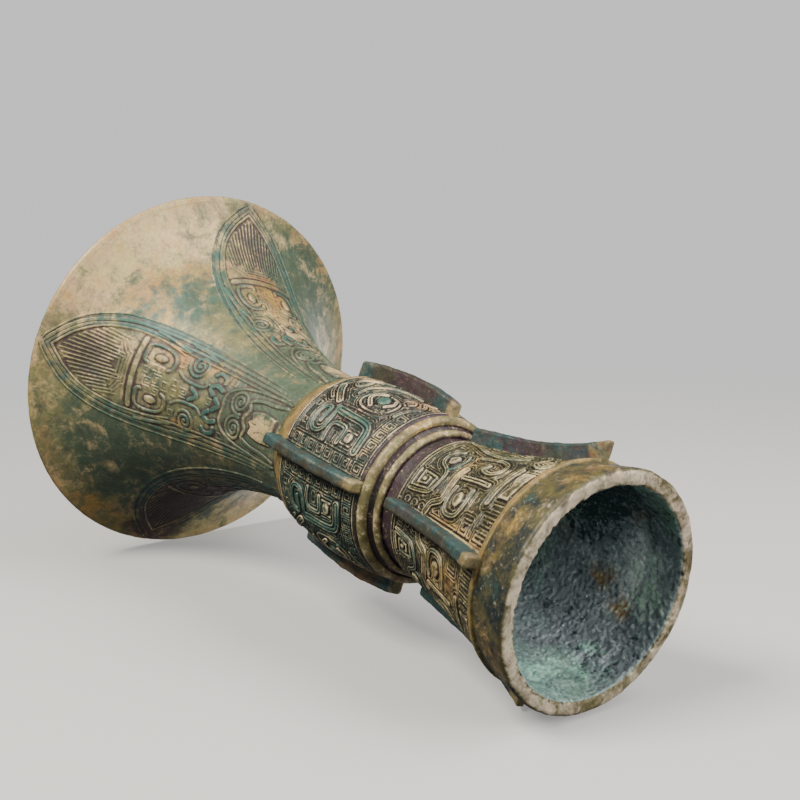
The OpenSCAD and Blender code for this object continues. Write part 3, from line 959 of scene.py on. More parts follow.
def square_spiral(x, y, w, h, pitch=1.2, turn=0, flip=1):
    """A square spiral in a cell of w by h about (x, y), as one line from outside to inside."""
    left, right, bottom, high = -w / 2, w / 2, -h / 2, h / 2
    line = [(left, bottom)]
    while right - left > 0.4 * pitch and high - bottom > 0.4 * pitch:
        line += [(left, high), (right, high), (right, bottom)]
        left += pitch
        if right - left <= 0.4 * pitch:
            break
        line.append((left, bottom))
        high -= pitch
        right -= pitch
        bottom += pitch
    p = np.array(line)
    c, s = round(math.cos(math.radians(turn))), round(math.sin(math.radians(turn)))
    p = np.stack([c * p[:, 0] - s * p[:, 1], s * p[:, 0] + c * p[:, 1]], 1)
    return p * [flip, 1] + [x, y]


def round_spiral(x, y, radius, turns=2.2, start=0.0, flip=1, inner=0.4):
    a = np.linspace(0, 1, int(24 * turns))
    r = radius + (inner - radius) * a
    angle = math.radians(start) + flip * 2 * math.pi * turns * a
    return np.stack([x + r * np.cos(angle), y + r * np.sin(angle)], 1)


def fill_ground(sheet, cell, pitch, x_range, y_range):
    """Draws square spirals wherever a whole cell is free, row by row, turned by turns."""
    made = 0
    y = y_range[0] + cell / 2
    while y <= y_range[1] - cell / 2 + 1e-6:
        x = x_range[0] + cell / 2
        while x <= x_range[1] - cell / 2 + 1e-6:
            half = cell / 2 - 0.1
            w = sheet.window(x - half, y - half, x + half, y + half)
            if w is not None and sheet.free[w].min() > GROUND_GAP:
                size, turn, flip = cell - pitch, 90 * (made % 2), 1 - 2 * (made // 2 % 2)
                sheet.ridge(square_spiral(x, y, size, size, pitch, turn, flip), 0.5 * pitch,
                            GROUND_HEIGHT)
                made += 1
                x += cell
            else:
                x += 0.6
        y += cell if cell > 4 else cell / 2
    return made


def echo(sheet, gap, width):
    """A thin line that follows the outlines of all figures at one distance."""
    line = ease(np.abs(sheet.free - gap), width / 2 + 0.15, width / 2 - 0.15)
    fresh = sheet.free > 0.3
    sheet.h = np.where(fresh, np.maximum(sheet.h, ECHO_HEIGHT * line), sheet.h)
    beyond = np.maximum(sheet.free - gap - width / 2, -1)
    sheet.free = np.where(sheet.free > gap - width / 2, beyond, -1.0)

# %% [markdown]
# A finished sheet is laid on its section line as a closed shell: the worn relief outside, a plain
# back inside the wall and flat sides between them.

# %% Lay a sheet on the vessel
BACK_COLUMNS = 13
CREST_GAIN = 2.6


def blurred(values, reach_cells):
    """The mean over a square of neighbours, found from running sums."""
    k = 2 * reach_cells + 1
    for axis in (0, 1):
        pad = [(0, 0), (0, 0)]
        pad[axis] = (reach_cells + 1, reach_cells)
        sums = np.cumsum(np.pad(values, pad, mode="edge"), axis)
        high = np.take(sums, range(k, sums.shape[axis]), axis)
        values = (high - np.take(sums, range(sums.shape[axis] - k), axis)) / k
    return values


def lay_sheet(name, section, s, angle, sheet, ground, back, lump, blur, tones):
    """s is the arc length of each row, angle the azimuth of each grid point in radians.

    What stands above its surroundings, blur cells about it, counts as proud, and the tones may add to
    it, painted shade among them."""
    r, z, nr, nz = [v[:, None] for v in section.at(s)]
    angle = np.broadcast_to(angle, sheet.h.shape)
    c, sn = np.cos(angle), np.sin(angle)
    base = np.stack([r * c, r * sn, z + 0 * c], 2)
    out = np.stack([nr * c, nr * sn, nz + 0 * c], 2)
    rubbed = 0.5 + 0.5 * lumps(base, 9, 4)
    h = ground + sheet.h * (0.82 + 0.18 * rubbed) + lump(base)
    points = base + out * h[..., None]
    rows, cols = h.shape
    thin = np.unique(np.linspace(0, cols - 1, BACK_COLUMNS).astype(int))
    inner = (base + out * back)[:, thin]
    flat = np.concatenate([points.reshape(-1, 3), inner.reshape(-1, 3)])
    near = np.arange(rows * cols).reshape(rows, cols)
    far = rows * cols + np.arange(rows * len(thin)).reshape(rows, len(thin))
    face = np.stack([near[:-1, :-1], near[:-1, 1:], near[1:, 1:], near[1:, :-1]], 2).reshape(-1, 4)
    rear = np.stack([far[:-1, :-1], far[1:, :-1], far[1:, 1:], far[:-1, 1:]], 2).reshape(-1, 4)
    left = np.stack([near[:-1, 0], near[1:, 0], far[1:, 0], far[:-1, 0]], 1)
    right = np.stack([near[:-1, -1], far[:-1, -1], far[1:, -1], near[1:, -1]], 1)
    low_rim = np.concatenate([near[0][::-1], far[0]])[None]
    high_rim = np.concatenate([near[-1], far[-1][::-1]])[None]
    if angle[0, 0] > angle[0, -1]:
        face, rear, left, right = [f[:, ::-1] for f in (face, rear, left, right)]
        low_rim, high_rim = low_rim[:, ::-1], high_rim[:, ::-1]
    found = tones(base)
    proud = (h - blurred(h, blur)) * CREST_GAIN
    proud = np.where(proud > 0, proud * (1 - 0.6 * sheet.green), proud)
    found["crest"] = proud + found.get("crest", 0)
    found["figure"] = sheet.green + found.get("figure", 0)
    pad = np.zeros(far.size)
    values = {label: np.concatenate([value.ravel(), pad]) for label, value in found.items()}
    return lay_mesh(name, flat, [face, rear, left, right, low_rim, high_rim],
                    flat_from=len(face), values=values)

# %% [markdown]
# Each of the four blades is a long leaf with its point at the rim. It is drawn once, symmetric about
# its middle, and laid on the trumpet at the four azimuths of the flanges.

# %% Blades
blade_outer = [(0, 258.1), (3, 256.8), (6.5, 255.2), (11, 252.8), (16, 248.8), (22.3, 241),
               (27.6, 230), (32.3, 215), (35.9, 197), (37.6, 180), (38, 165), (38, z_neck)]
blade_inner = [(0, 255.6), (3, 254), (6.9, 251.6), (12.9, 246), (18.4, 235.8), (20.6, 226.7),
               (22.4, 212), (24.6, 196), (26.3, 180), (27.6, 165), (28, z_neck)]
BLADE_ROWS = 410
BLADE_COLUMNS = 236


def blade_grid():
    """Rows along the leaf and columns that spread with its outline, a little past it."""
    s = np.linspace(0, float(trumpet.where(258.15)), BLADE_ROWS)
    r = trumpet.at(s)[0]
    degrees, heights = np.array(smooth(blade_outer, 8)).T
    half = np.interp(s, trumpet.where(heights)[::-1], degrees[::-1])
    half = np.radians(np.maximum(half, 0.2)) + 0.9 / r
    across = np.linspace(-1, 1, BLADE_COLUMNS)
    return s, r, half[:, None] * across[None], np.abs(across)


print("a blade is", blade_grid()[2].shape, "points")

# %% [markdown]
# A founder cut the leaf's drawing into the mould, so every line stands proud of the wall. From the tip
# down: fine hatching, a bar, a mask with two eyes, curls and a snout, and a plain knob at the root.
# The numbers are degrees from the blade's middle and heights, as they were read off the vessel.

# %% Draw one blade


def blade_sheet():
    """The drawing of one leaf: outlines, the hatched tip, a mask with its bar, and the knob."""
    s, r, angle, rim = blade_grid()
    sheet = Sheet(r[:, None] * angle, s[:, None] + 0 * angle)

    def spot(degrees, z):
        """The place on the sheet of an angle from the blade's middle and a height."""
        along = float(trumpet.where(z))
        return math.radians(degrees) * float(trumpet.at(along)[0]), along

    def path(pairs, side=1, soften=True):
        points = [spot(side * d, z) for d, z in pairs]
        return smooth(points, 8) if soften else np.array(points)

    def between(share):
        return [(a + share * (c - a), b + share * (d - b))
                for (a, b), (c, d) in zip(blade_outer, blade_inner)]

    outlines = ((0, 0.8, 0.34), (0.32, 1.5, 0.3), (0.66, 1.3, 0.3), (1, 0.9, 0.42))
    for side in (-1, 1):
        for share, width, height in outlines:
            sheet.ridge(path(between(share), side), width, height)
    tip = np.array(blade_inner)
    for n in range(-9, 10):
        d = n * 1.5
        high_z = np.interp(abs(d), tip[:, 0], tip[:, 1]) - 1.6
        sheet.ridge(path([(d, high_z), (d, 237.5 + 2.2 * math.cos(n))], 1, False), 0.6, 0.26)
    for step in range(4):
        low_z = 233 + 1.2 * step
        half_cup = [(8 - step, low_z), (8 - step, low_z + 1), (14 - 2 * step, 238)]
        cup = [(-d, z) for d, z in half_cup[::-1]] + half_cup
        sheet.ridge(path(cup, 1, False), 0.5, 0.24)
    sheet.ridge(path([(-17, 230.6), (17, 230.6)], 1, False), 2.2, 0.7)
    for side in (-1, 1):
        x, y = spot(side * 11.8, 221.5)
        sheet.boss(x, y, 1.6, 3.0, 1.0)
        frame_line = [(7, 226.5), (8, 228), (15, 228), (17.6, 225), (18, 219), (15, 215.4),
                      (9, 215.2), (7, 217)]
        sheet.ridge(path(frame_line, side), 1.2, 0.6, 0.6)
        sheet.ridge(path([(20.5, 229), (21, 222), (20, 213)], side), 0.8, 0.4)
        sheet.ridge(path([(23.5, 228), (24, 221), (23, 212)], side), 1.4, 0.6, 0.5)
        x, y = spot(side * 19, 204.5)
        sheet.ridge(round_spiral(x, y, 5, 2.3, 90, side), 1.1, 0.5, 0.5)
        sheet.ridge(path([(10, 212), (7, 208), (7, 200), (11, 196.5)], side), 1.1, 0.5, 0.4)
        sheet.ridge(path([(28, 212), (29, 204), (27, 196)], side), 1.0, 0.45)
        sheet.ridge(path([(6, 193), (9.5, 195), (13, 192.5), (11.5, 189)], side), 1.9, 0.7, 0.9)
        sheet.ridge(path([(17, 189.5), (20.5, 190), (22, 193.5), (19, 195.5)], side), 1.7, 0.65, 0.8)
        x, y = spot(side * 10.5, 178)
        sheet.ridge(round_spiral(x, y, 5.0, 2.4, 200 if side > 0 else -20, -side), 1.2, 0.6, 0.2)
        sheet.ridge(path([(0, 173.4), (3, 173), (8, 171.5), (15, 172.5), (19.5, 167), (21, 160),
                          (24, 153)], side), 1.5, 0.6)
        sheet.ridge(path([(0, 186), (8, 186.5), (15, 184.5), (22, 178), (26, 168), (29, 154)], side),
                    1.1, 0.5)
    sheet.ridge(path([(-4, 204), (0, 200.5), (4, 204)]), 1.6, 0.6, 0.5)
    sheet.ridge(path([(-4, 191), (0, 188.6), (4, 191)]), 1.9, 0.7, 0.9)
    knob = path([(-11, 155), (-12, 162), (-9, 168.5), (-3, 168), (0, 170), (3, 168), (9, 168.5),
                 (12, 162), (11, 155)])
    sheet.plate(list(map(tuple, knob)), 1.1, 0.0, 0.5)
    sheet.groove(path([(0, 170), (0.4, 165)]), 0.6, 0.2)
    for side in (-1, 1):
        sheet.groove(path([(5, 157), (4, 161), (6, 165)], side), 0.5, 0.14)
    return sheet, s, angle, rim, path(blade_inner)

# %% [markdown]
# What is left of the ground inside the leaf is filled with spirals. The band between its two outlines
# is greener than the rest, and the sheet's rim is let into the wall. Then the one drawing is laid on
# the wall four times.

# %% Lay four blades
BLADE_SHARE = 0.8
RIM_FROM, RIM_SINK = 0.955, 0.6
BLADE_GROUND, BLADE_BACK = 0.14, -0.9


def within_blade(sheet, outline, margin):
    """True where a point of the sheet lies inside the blade's outline."""
    limit = np.interp(sheet.y[:, 0], outline[::-1, 1], outline[::-1, 0])
    return np.abs(sheet.x) < (limit - margin)[:, None]


blade_draft, blade_s, blade_angle, blade_rim, blade_edge = blade_sheet()
inside_blade = within_blade(blade_draft, blade_edge, 0.8)
blade_draft.free = np.where(inside_blade, blade_draft.free, -1)
spirals = fill_ground(blade_draft, 4.6, 1.15, (-20, 20), (18, 82))
spirals += fill_ground(blade_draft, 3.4, 1.1, (-22, 22), (4, 84))
in_band = ~within_blade(blade_draft, blade_edge, 0) & (blade_rim < 0.97)
blade_draft.green = np.maximum(blade_draft.green, 0.5 * in_band)
blade_draft.h *= BLADE_SHARE
blade_draft.h -= RIM_SINK * ease(blade_rim, RIM_FROM, 1)[None]
print("spirals on a blade:", spirals)
for name, azimuth in QUARTERS.items():
    piece = lay_sheet("blade_leaf_" + name, trumpet, blade_s, blade_angle + math.radians(azimuth),
                      blade_draft, BLADE_GROUND, BLADE_BACK, cup_lump, 6, trumpet_tones)
    dress(piece, "blades", trumpet_skin, "blade_" + name)

# %% [markdown]
# The belly carries two masks. Each quarter from flange to flange shows half of one mask: an eye by the
# nose flange, a curled body beyond it, and thunder pattern everywhere between.

# %% Belly quarters
belly_mm = 0.576
foot_mm = 0.54
quarter_start, quarter_end = 2.6, 87.4


def quarter_sheet(cols, rows, mm, section):
    """A sheet from flange to flange; mm is how many millimetres one degree takes up."""
    degrees = np.linspace(quarter_start, quarter_end, cols)
    s = np.linspace(0, section.length, rows)
    z = section.at(s)[1]
    return Sheet(np.broadcast_to(degrees * mm, (rows, cols)).copy(),
                 np.broadcast_to(z[:, None], (rows, cols)).copy()), degrees, s


def fill_quarter(sheet, mm, cell, low_z, high_z):
    """Two thin lines round all figures, then large and small spirals in what is left."""
    echo(sheet, 1.0, 0.45)
    echo(sheet, 0.8, 0.4)
    across = (quarter_start * mm, quarter_end * mm)
    made = fill_ground(sheet, cell, 1.0, across, (low_z, high_z))
    return made + fill_ground(sheet, 3.1, 0.95, across, (low_z, high_z))


def marks(mm):
    """A drawing helper in degrees and heights for one zone."""
    def path(pairs, soften=True):
        points = [(d * mm, z) for d, z in pairs]
        return smooth(points, 8) if soften else np.array(points)
    return path


print("a quarter runs from", quarter_start, "to", quarter_end, "degrees")

# %% [markdown]
# The belly's half mask is drawn in degrees from its nose flange and in heights. Broad engraved bands
# make the jaw, the brow and the horn, bosses the eye and the nostril, thin lines the borders. The two
# rows of square spirals stand below and at the far side, as on the vessel.

# %% Draw the belly's half mask


def belly_sheet():
    """Half a mask: border lines, nose and jaw, brow, eye, horn, curled body and rows of spirals."""
    sheet, degrees, s = quarter_sheet(300, 292, belly_mm, belly)
    path = marks(belly_mm)
    for d in (85, 86.6):
        sheet.ridge(path([(d, 91), (d, 140)], False), 0.6, 0.35)
    for z in (91.0, 92.3):
        sheet.ridge(path([(0, z), (90, z)], False), 0.55, 0.32)
    sheet.ridge(path([(0, 138.9), (90, 138.9)], False), 0.7, 0.4)
    sheet.band(path([(52, 121), (52.6, 114), (53, 106), (55, 102.5), (60, 100.8), (66, 100.4),
                     (72, 100.4)]), 3.4, 0.75, 0.9)
    sheet.groove(path([(54.6, 119), (54.8, 106), (57.5, 102), (72, 101.4)]), 0.5, 0.4)
    sheet.band(path([(74, 118), (66, 118.6), (61.5, 117.5), (60.8, 114), (61.6, 111), (66, 110.4),
                     (72, 110.6)]), 1.9, 0.65, 0.5)
    sheet.ridge(path([(62, 104), (62, 109), (71, 109), (71, 104)], False), 0.7, 0.45)
    sheet.boss(66.4 * belly_mm, 106.3, 2.4, 2.0, 1.0)
    sheet.band(path([(50.5, 122), (56, 121.4), (66, 121.4), (70.4, 123.5), (70.6, 127), (66, 129.2),
                     (57, 129.2), (53, 127.4), (54, 125.2), (64, 125.2)]), 1.8, 0.7, 0.8)
    for d in (48.6, 50.2):
        sheet.ridge(path([(d, 103), (d, 121)], False), 0.55, 0.35)
    sheet.ridge(path([(24.5, 110), (25.5, 104.5), (30, 102), (37, 102.2), (41.5, 105), (43.5, 110),
                      (42, 115.5), (37, 118.2), (30, 117.6), (26, 115)]), 1.0, 0.5, 0.3)
    sheet.band(path([(25.6, 112), (29, 115.2), (34, 115.4), (39.5, 111.5)]), 1.8, 0.9, 0.0)
    sheet.band(path([(27, 105.2), (31, 104.2), (35.5, 106)]), 1.4, 0.8, 0.0)
    sheet.boss(31 * belly_mm, 109.6, 2.7, 2.7, 1.15, green=0.9)
    sheet.boss(39.8 * belly_mm, 104.2, 1.3, 1.3, 0.8, green=0.8)
    sheet.band(path([(46, 125.6), (42, 128.5), (37, 131.8), (32.5, 134)]), 3.0, 0.85, 0.5)
    sheet.band(path([(45.5, 131), (41, 134.4), (36, 136.6)]), 1.6, 0.7, 0.7)
    sheet.ridge(round_spiral(20.5 * belly_mm, 101.6, 2.6, 1.8, 0, 1), 0.9, 0.55, 0.3)
    sheet.band(path([(8, 96), (12, 99), (16, 96.6), (22, 96), (30, 97.6), (38, 98.4)]),
               1.4, 0.6, 0.4)
    sheet.band(path([(10, 103), (11, 110), (14, 116), (20, 120), (27, 122.4), (34, 122.4)]),
               1.6, 0.7, 0.5)
    sheet.band(path([(9, 121), (12, 127), (18, 131), (24, 131.5), (28, 128.6), (24, 126.4), (18, 127)]),
               1.6, 0.7, 0.5)
    for n in range(6):
        sheet.ridge(square_spiral((80.4 - 8.7 * n) * belly_mm, 95.6, 4.1, 4.1, 1.0, 0, 1), 0.5, 0.34)
    for n in range(7):
        sheet.ridge(square_spiral(81 * belly_mm, 101.4 + 5.3 * n, 4.1, 4.1, 1.0, 90, -1), 0.5, 0.34)
    print("spirals on a belly quarter:",
          fill_quarter(sheet, belly_mm, 4.6, z_belly + 1, z_shoulder - 0.5))
    return sheet, degrees, s

# %% [markdown]
# A quarter's ground lies a little below the solid's face and its bands stand a little above it, so the
# size stays that of the frame. Every second quarter is laid the other way round, which mirrors it, and
# two halves then meet at each nose.

# %% Lay the belly's quarters
RELIEF_GROUND = -0.4
RELIEF_BACK = -1.15
mask_lump = skin(0.08, 0.09, 0.055)


def lay_quarters(kind, section, draft, degrees, s, material, slot, tones):
    """The four quarters: masks centre on the right and left flanges, and each half is mirrored."""
    for name, nose, way in (("back_right", 0, 1), ("back_left", 180, -1), ("front_left", 180, 1),
                            ("front_right", 0, -1)):
        angle = np.radians(nose + way * degrees)
        piece = lay_sheet(kind + "_relief_" + name, section, s, angle[None], draft, RELIEF_GROUND,
                          RELIEF_BACK, mask_lump, 7, tones)
        dress(piece, slot, material, kind + "_mask_" + name)


def belly_tones(base):
    """Pink crust by the right flange's top, green figures on the sides, ochre in small patches."""
    return {"pale": zones(base, (0.9, 350, 134, 9, 9), (0.3, 300, 95, 30, 5), (0.6, 170, 128, 14, 9)),
            "figure": zones(base, (0.4, 304, 114, 11, 13), (0.4, 240, 116, 15, 16),
                            (0.3, 60, 118, 14, 16)),
            "deep": zones(base, (0.8, 235, 112, 30, 20), (0.7, 60, 115, 30, 20)),
            "stain": zones(base, (0.8, 346, 99, 9, 7), (0.5, 282, 135, 6, 6), (0.6, 190, 100, 12, 9),
                           (0.5, 100, 120, 10, 18))}


belly_draft, belly_degrees, belly_s = belly_sheet()
lay_quarters("belly", belly, belly_draft, belly_degrees, belly_s, belly_skin, "masks", belly_tones)

# %% [markdown]
# The foot's masks are taller and looser. A hooked spiral and a loop stand for the body, the eye looks
# out under a long S line, and claws fill the flared part below.

# %% Foot quarters


def foot_sheet():
    """Half a mask: border lines, S line and hook, eye, spiral, loop, claws and rows of spirals."""
    sheet, degrees, s = quarter_sheet(270, 344, foot_mm, foot)
    path = marks(foot_mm)
    for z in (76.4, 74.9):
        sheet.ridge(path([(0, z), (90, z)], False), 0.55, 0.32)
    for z in (71.5, 67, 62.6):
        sheet.ridge(round_spiral(82 * foot_mm, z, 1.5, 1.0, 0, 1, 1.2), 0.6, 0.34)
    sheet.band(path([(74, 73), (73, 68), (70, 62.4), (60, 60.6), (53, 61.4), (49, 64), (46, 67),
                     (40, 68.6), (33, 67.6), (30, 64.6)]), 1.5, 0.65, 0.4)
    sheet.ridge(path([(57, 73.4), (71, 73.4), (69, 64.2), (59, 63.4), (57.4, 71), (67.4, 71),
                      (66, 66.4), (61, 66.2), (60.4, 69)], False), 0.9, 0.5, 0.3)
    sheet.boss(63.4 * foot_mm, 68.6, 1.2, 1.2, 0.8)
    sheet.boss(41 * foot_mm, 63.6, 2.7, 2.2, 1.15, 20)
    sheet.ridge(path([(33, 60), (38, 58.6), (46, 59.6), (50, 62)]), 1.0, 0.55, 0.8)
    sheet.band(path([(84, 59.4), (77, 58.2), (74, 55.6), (71, 53.6), (62, 53.8), (53, 54.6), (46, 54)]),
               2.9, 0.75, 0.0)
    sheet.band(path([(52, 52), (51.6, 44), (52.4, 37)]), 1.9, 0.6, 0.0)
    sheet.band(path([(60, 50.6), (68, 51.2), (76, 50), (78, 46.5), (76, 42.6), (68, 41), (59, 41.4)]),
               1.7, 0.65, 0.5)
    sheet.boss(67 * foot_mm, 46, 2.9, 2.4, 1.0)
    sheet.band(path([(36, 30.4), (48, 31), (62, 30.6)]), 2.2, 0.7, 0.3)
    claw = path([(38, 22), (58, 22), (58, 27.6), (50, 26), (44, 28), (38, 27.6)], False)
    sheet.plate(list(map(tuple, claw)), 0.7)
    sheet.band(path([(10, 72), (14, 66), (20, 60), (24, 52), (25, 44), (22, 37)]), 1.7, 0.7, 0.5)
    sheet.band(path([(31, 54), (30, 46), (33, 40), (40, 38.4), (44, 42), (42, 47), (38, 46)]),
               1.6, 0.65, 0.5)
    sheet.band(path([(10, 34), (18, 30), (26, 30.4), (30, 26), (27, 21.6)]), 1.8, 0.65, 0.4)
    sheet.ridge(square_spiral(79 * foot_mm, 35, 4.6, 4.6, 1.2, 0, 1), 0.62, 0.34)
    for degree, flip in ((72.5, 1), (81.1, -1)):
        sheet.ridge(square_spiral(degree * foot_mm, 24.4, 3.7, 8, 1.15, 0, flip), 0.6, 0.34)
    sheet.ridge(path([(86.2, 18), (86.2, 74)], False), 1.0, 0.45)
    print("spirals on a foot quarter:", fill_quarter(sheet, foot_mm, 4.4, z_ring + 3, z_waist - 0.5))
    return sheet, degrees, s

# %% [markdown]
# The foot's crusts differ from the belly's: there is more golden earth on them. The same function lays
# the four quarters.

# %% Lay the foot's quarters


def foot_tones(base):
    """Golden earth beside the front flange and on the left, green figures high on the sides."""
    return {"pale": zones(base, (0.5, 325, 24, 18, 8), (0.5, 200, 40, 18, 16)),
            "figure": zones(base, (0.35, 322, 60, 16, 9), (0.35, 244, 62, 16, 10),
                            (0.25, 300, 34, 10, 8)),
            "deep": zones(base, (0.6, 240, 68, 24, 8), (0.7, 80, 55, 30, 20), (0.5, 320, 66, 12, 6)),
            "stain": zones(base, (0.9, 276, 35, 5, 22), (0.7, 310, 55, 25, 5), (0.6, 245, 40, 18, 22),
                           (0.5, 340, 30, 16, 16), (0.5, 130, 35, 30, 20))}


foot_draft, foot_degrees, foot_s = foot_sheet()
lay_quarters("foot", foot, foot_draft, foot_degrees, foot_s, foot_skin, "masks", foot_tones)

# %% [markdown]
# A flange is a thick fin with worn, rounded edges. It is lofted from rings: each ring is the fin's
# cut at one height, and the rings near the ends are drawn in so that the ends are round too.

# %% Flanges
FIN_CORNER = 1.2
FIN_END = 0.9
FIN_ROOT = 1.6
SIDE_POINTS = 25
FACE_POINTS = 8


def fin_ring(inner_r, outer_r, half_t):
    """The cut of a fin in radius and width: up one side, round the outer corners and back."""
    side = np.linspace(inner_r, outer_r - FIN_CORNER, SIDE_POINTS + 1)
    arc = np.linspace(-math.pi / 2, 0, 6)
    low_corner = np.stack([outer_r - FIN_CORNER + FIN_CORNER * np.cos(arc),
                           -half_t + FIN_CORNER + FIN_CORNER * np.sin(arc)], 1)
    low_side = np.stack([side[:-1], np.full(SIDE_POINTS, -half_t)], 1)
    face = np.linspace(-half_t + FIN_CORNER, half_t - FIN_CORNER, FACE_POINTS + 2)[1:-1]
    face = np.stack([np.full(FACE_POINTS, outer_r), face], 1)
    high_corner, high_side = low_corner[::-1] * [1, -1], low_side[::-1] * [1, -1]
    return np.concatenate([low_side, low_corner, face, high_corner, high_side])


def fin(name, azimuth, edge, root, rows, lump):
    """edge is the outer line as (radius, height) points; root(z) is the radius it starts from."""
    line = Section(edge)
    s = np.linspace(0, line.length, rows)
    r, z, _, _ = line.at(s)
    from_end = np.minimum(s, line.length - s)
    draw_in = FIN_END * (1 - np.sqrt(1 - (1 - np.clip(from_end / FIN_END, 0, 1))**2))
    rings = np.stack([fin_ring(inner_r, outer_r - d, flange_t / 2 - d)
                      for inner_r, outer_r, d in zip(root(z), r, draw_in)])
    count = rings.shape[1]
    turned = math.radians(azimuth)
    u = np.array([math.cos(turned), math.sin(turned), 0])
    v = np.array([-math.sin(turned), math.cos(turned), 0])
    points = rings[..., 0:1] * u + rings[..., 1:2] * v
    points[..., 2] = z[:, None]
    slope = np.roll(points, -1, 1) - np.roll(points, 1, 1)
    out = np.cross(slope, [0, 0, 1.0])
    out /= np.maximum(np.linalg.norm(out, axis=2), 1e-9)[..., None]
    h = lump(points)
    points = points + out * h[..., None]
    a, b = ring_corners(rows - 1, count)
    quads = np.stack([a, b, b + count, a + count], 2).reshape(-1, 4)
    caps = [np.arange(count)[::-1][None], ((rows - 1) * count + np.arange(count))[None]]
    on_edge = rings[..., 0] > r[:, None] - FIN_CORNER
    on_edge = on_edge & (np.abs(rings[..., 1]) > flange_t / 2 - FIN_CORNER)
    points = points.reshape(-1, 3)
    found = flange_tones(points)
    found["crest"] = found["crest"] + (LUMP_CREST * h + 0.12 * on_edge).ravel()
    return lay_mesh(name, points, [quads] + caps, flat_from=len(quads), values=found)

# %% [markdown]
# Earth collects where a flange meets a rib or the foot's band, while some of its sides are brown and
# dark.
# The edge lines are curves, like those of the vessel: the belly's flanges bulge, and the foot's sweep
# out to the standing band.

# %% Edges, crusts and the eight fins


def flange_tones(points):
    """Cream earth at the flanges' feet, brown and dark on some sides, ochre in spots."""
    z = points[..., 2]
    feet = ease(z, 97, 91) * (z > z_waist + 3) + ease(z, 25, 19)
    return {"pale": 0.85 * feet,
            "crest": zones(points, (-0.6, 352, 116, 6, 18), (-0.4, 352, 52, 6, 18)),
            "deep": zones(points, (0.9, 352, 118, 6, 22), (0.8, 172, 110, 8, 30), (0.5, 90, 60, 30, 60),
                          (0.6, 264, 110, 5, 28), (0.6, 264, 50, 5, 28)),
            "stain": zones(points, (0.7, 186, 110, 14, 26), (0.6, 0, 19, 12, 5), (0.5, 270, 19, 12, 4),
                           (0.5, 2, 145, 14, 8), (0.5, 90, 24, 14, 8))}


belly_fin_low = low("belly_flange_right")
belly_fin_high = top("belly_flange_right")
belly_fin_r = belly_edge_r + 4.6
belly_fin_mid = belly_fin_r + 2.6 * 4 / 3
belly_fin_edge = cubic([(belly_fin_r, belly_fin_low), (belly_fin_mid, z_belly + belly_h * 0.3),
                        (belly_fin_mid, z_belly + belly_h * 0.7), (belly_fin_r, belly_fin_high)])
foot_fin_end = reach("foot_flange_right")
foot_fin_top = foot_top_r + 4.9
foot_fin_edge = cubic([(foot_fin_end, z_ring), (foot_fin_end - 10.5, z_ring + foot_h * 0.35),
                       (foot_fin_top + 3, z_ring + foot_h * 0.68), (foot_fin_top, z_waist)])


def belly_root(z):
    on_neck = np.interp(z, shoulder.points[:, 1], shoulder.points[:, 0])
    on_belly = np.interp(z, belly.points[:, 1], belly.points[:, 0])
    return np.where(z > z_shoulder, on_neck, on_belly) - FIN_ROOT


def foot_root(z):
    return np.interp(z, foot.points[:, 1], foot.points[:, 0]) - FIN_ROOT


fin_lump = skin(0.22, 0.2, 0.09)
for name, azimuth in QUARTERS.items():
    piece = fin("belly_fin_" + name, azimuth, belly_fin_edge, belly_root, 150, fin_lump)
    dress(piece, "flanges", flange_skin, "belly_flange_" + name)
    piece = fin("foot_fin_" + name, azimuth, foot_fin_edge, foot_root, 170, fin_lump)
    dress(piece, "flanges", flange_skin, "foot_flange_" + name)

# %% [markdown]
# The vessel lies on its side in the view to be matched, but it stands upright in the frame. So the
# camera is rolled, and the floor it lies on is a tilted plane that only the camera's rays can see,
# from its upper side. A second plane at the foot does the same for upright views. With distance both
# pass into the grey of the world, so that no horizon shows.

# %% Floors
FLOOR_GREY = (0.62, 0.61, 0.59, 1)
ROOM_GREY = (0.8, 0.8, 0.8, 1)
FADE_START, FADE_END, FADE_LEAST = 0.2, 0.8, 0.3


def floor_material():
    material = bpy.data.materials.new("studio_floor")
    material.use_nodes = True
    w = Wiring(material.node_tree)
    w.nodes.remove(w.nodes["Principled BSDF"])
    plain = w.feed_all(w.new("BsdfDiffuse"), Color=FLOOR_GREY)
    glow = w.feed_all(w.new("Emission"), Color=ROOM_GREY)
    side = w.new("NewGeometry")
    far = w.new("VectorMath", operation="LENGTH")
    w.feed(far.inputs[0], side.outputs["Position"])
    faded = w.blend(w.ramp(far.outputs["Value"], FADE_START, FADE_END, FADE_LEAST), plain, glow)
    seen = w.less(w.new("LightPath").outputs["Is Camera Ray"], side.outputs["Backfacing"])
    shown = w.blend(seen, w.new("BsdfTransparent"), faded)
    w.feed(w.nodes["Material Output"].inputs["Surface"], shown.outputs[0])
    return material


def floor_plane(name, centre, normal, size):
    """A square through the centre, twice the size across."""
    n = Vector(normal).normalized()
    a = n.orthogonal().normalized()
    b = n.cross(a)
    corners = [Vector(centre) + size * (p * a + q * b) for p, q in ((-1, -1), (1, -1), (1, 1), (-1, 1))]
    mesh = bpy.data.meshes.new(name)
    mesh.from_pydata([tuple(c) for c in corners], [], [(0, 1, 2, 3)])
    plane = bpy.data.objects.new(name, mesh)
    bpy.context.scene.collection.objects.link(plane)
    return plane


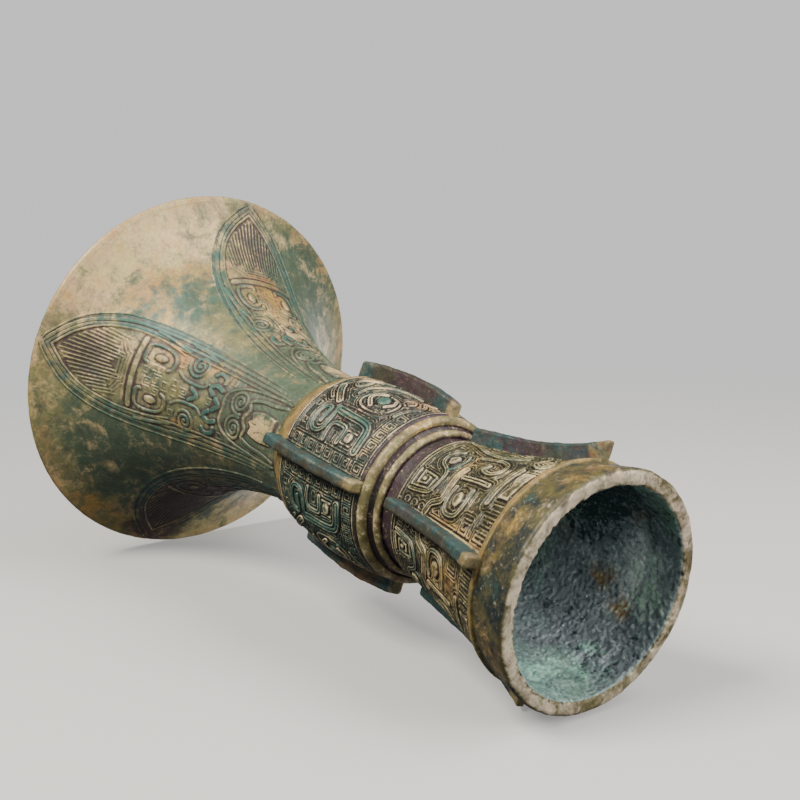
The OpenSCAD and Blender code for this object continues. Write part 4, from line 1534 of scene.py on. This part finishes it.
studio_floor = floor_material()
FLOOR_SIZE = 6
lying_normal = (0.9484, -0.2855, 0.1351)
touch = math.radians(163.3)
touch_point = (mouth_r * MM * math.cos(touch), mouth_r * MM * math.sin(touch), body_h * MM)
lying_floor = floor_plane("lying_floor", touch_point, lying_normal, FLOOR_SIZE)
standing_floor = floor_plane("standing_floor", (0, 0, 0), (0, 0, 1), FLOOR_SIZE)
for plane in (lying_floor, standing_floor):
    plane.data.materials.append(studio_floor)
print("the rim touches the lying floor at", [round(c, 3) for c in touch_point])

# %% [markdown]
# Soft boxes light a small bronze well, because their broad light glides over the relief. A warm key,
# one from the top and one from the front model it, a small weak one looks into the foot's hollow, and
# one behind keeps the back from going black. All aim at the belly. The world is a pale grey that the
# camera sees in full and that lights the vessel only a little.

# %% Lights and world
ROOM_LIGHT = 0.22
aim = Vector((0, 0, 0.12))


def soft_box(name, direction, distance, size, power, colour=(1, 1, 1)):
    lamp = bpy.data.lights.new(name, "AREA")
    lamp.size = size
    lamp.energy = power
    lamp.color = colour
    holder = bpy.data.objects.new(name, lamp)
    bpy.context.scene.collection.objects.link(holder)
    holder.location = aim + Vector(direction).normalized() * distance
    holder.rotation_mode = "QUATERNION"
    holder.rotation_quaternion = (aim - holder.location).to_track_quat("-Z", "Y")


soft_box("key_box", (0.56, -0.80, 0.14), 1.3, 0.5, 31, (1, 0.95, 0.84))
soft_box("top_box", (0.9, 0.1, -0.25), 1.4, 0.8, 13, (1, 0.98, 0.94))
soft_box("front_box", (0.6, 0.12, -0.85), 1.2, 0.6, 15, (1, 0.98, 0.93))
soft_box("eye_box", (0.35, -0.45, -0.86), 1.2, 0.5, 2.2, (1, 0.98, 0.95))
soft_box("fill_box", (-0.15, 0.98, 0.4), 1.5, 1.2, 15, (1, 0.99, 0.97))


def pale_world():
    world = bpy.data.worlds.new("pale_room")
    world.use_nodes = True
    w = Wiring(world.node_tree)
    level = w.ramp(w.new("LightPath").outputs["Is Camera Ray"], 0, 1, ROOM_LIGHT)
    w.feed_all(w.nodes["Background"], Color=ROOM_GREY, Strength=level)
    bpy.context.scene.world = world


pale_world()
print("lamps:", [lamp.name for lamp in bpy.data.lights])

# %% [markdown]
# The picture was taken from below the foot, looking along the vessel to its mouth. The camera's place
# and its three directions come from fitting the circles of the foot, the ribs, the belly and the
# mouth, so they are given as plain numbers. Its roll is what lays the vessel on its side.

# %% Camera
camera_data = bpy.data.cameras.new("view")
camera_data.lens = 66.83
camera_data.sensor_width = 36
camera_data.clip_start = 0.01
camera = bpy.data.objects.new("view", camera_data)
bpy.context.scene.collection.objects.link(camera)
camera_place = Vector((0.0913, -0.3612, -0.2947))
forward = Vector((-0.11328, 0.6513, 0.75032)).normalized()
sideways = Vector((0.3081, 0.74098, -0.59667)).normalized()
upward = sideways.cross(forward).normalized()
camera.matrix_world = Matrix.Translation(camera_place) @ Matrix(
    (sideways, upward, -forward)).transposed().to_4x4()
bpy.context.scene.camera = camera
print("camera is", round(camera_place.length, 3), "m from the foot")

# %% [markdown]
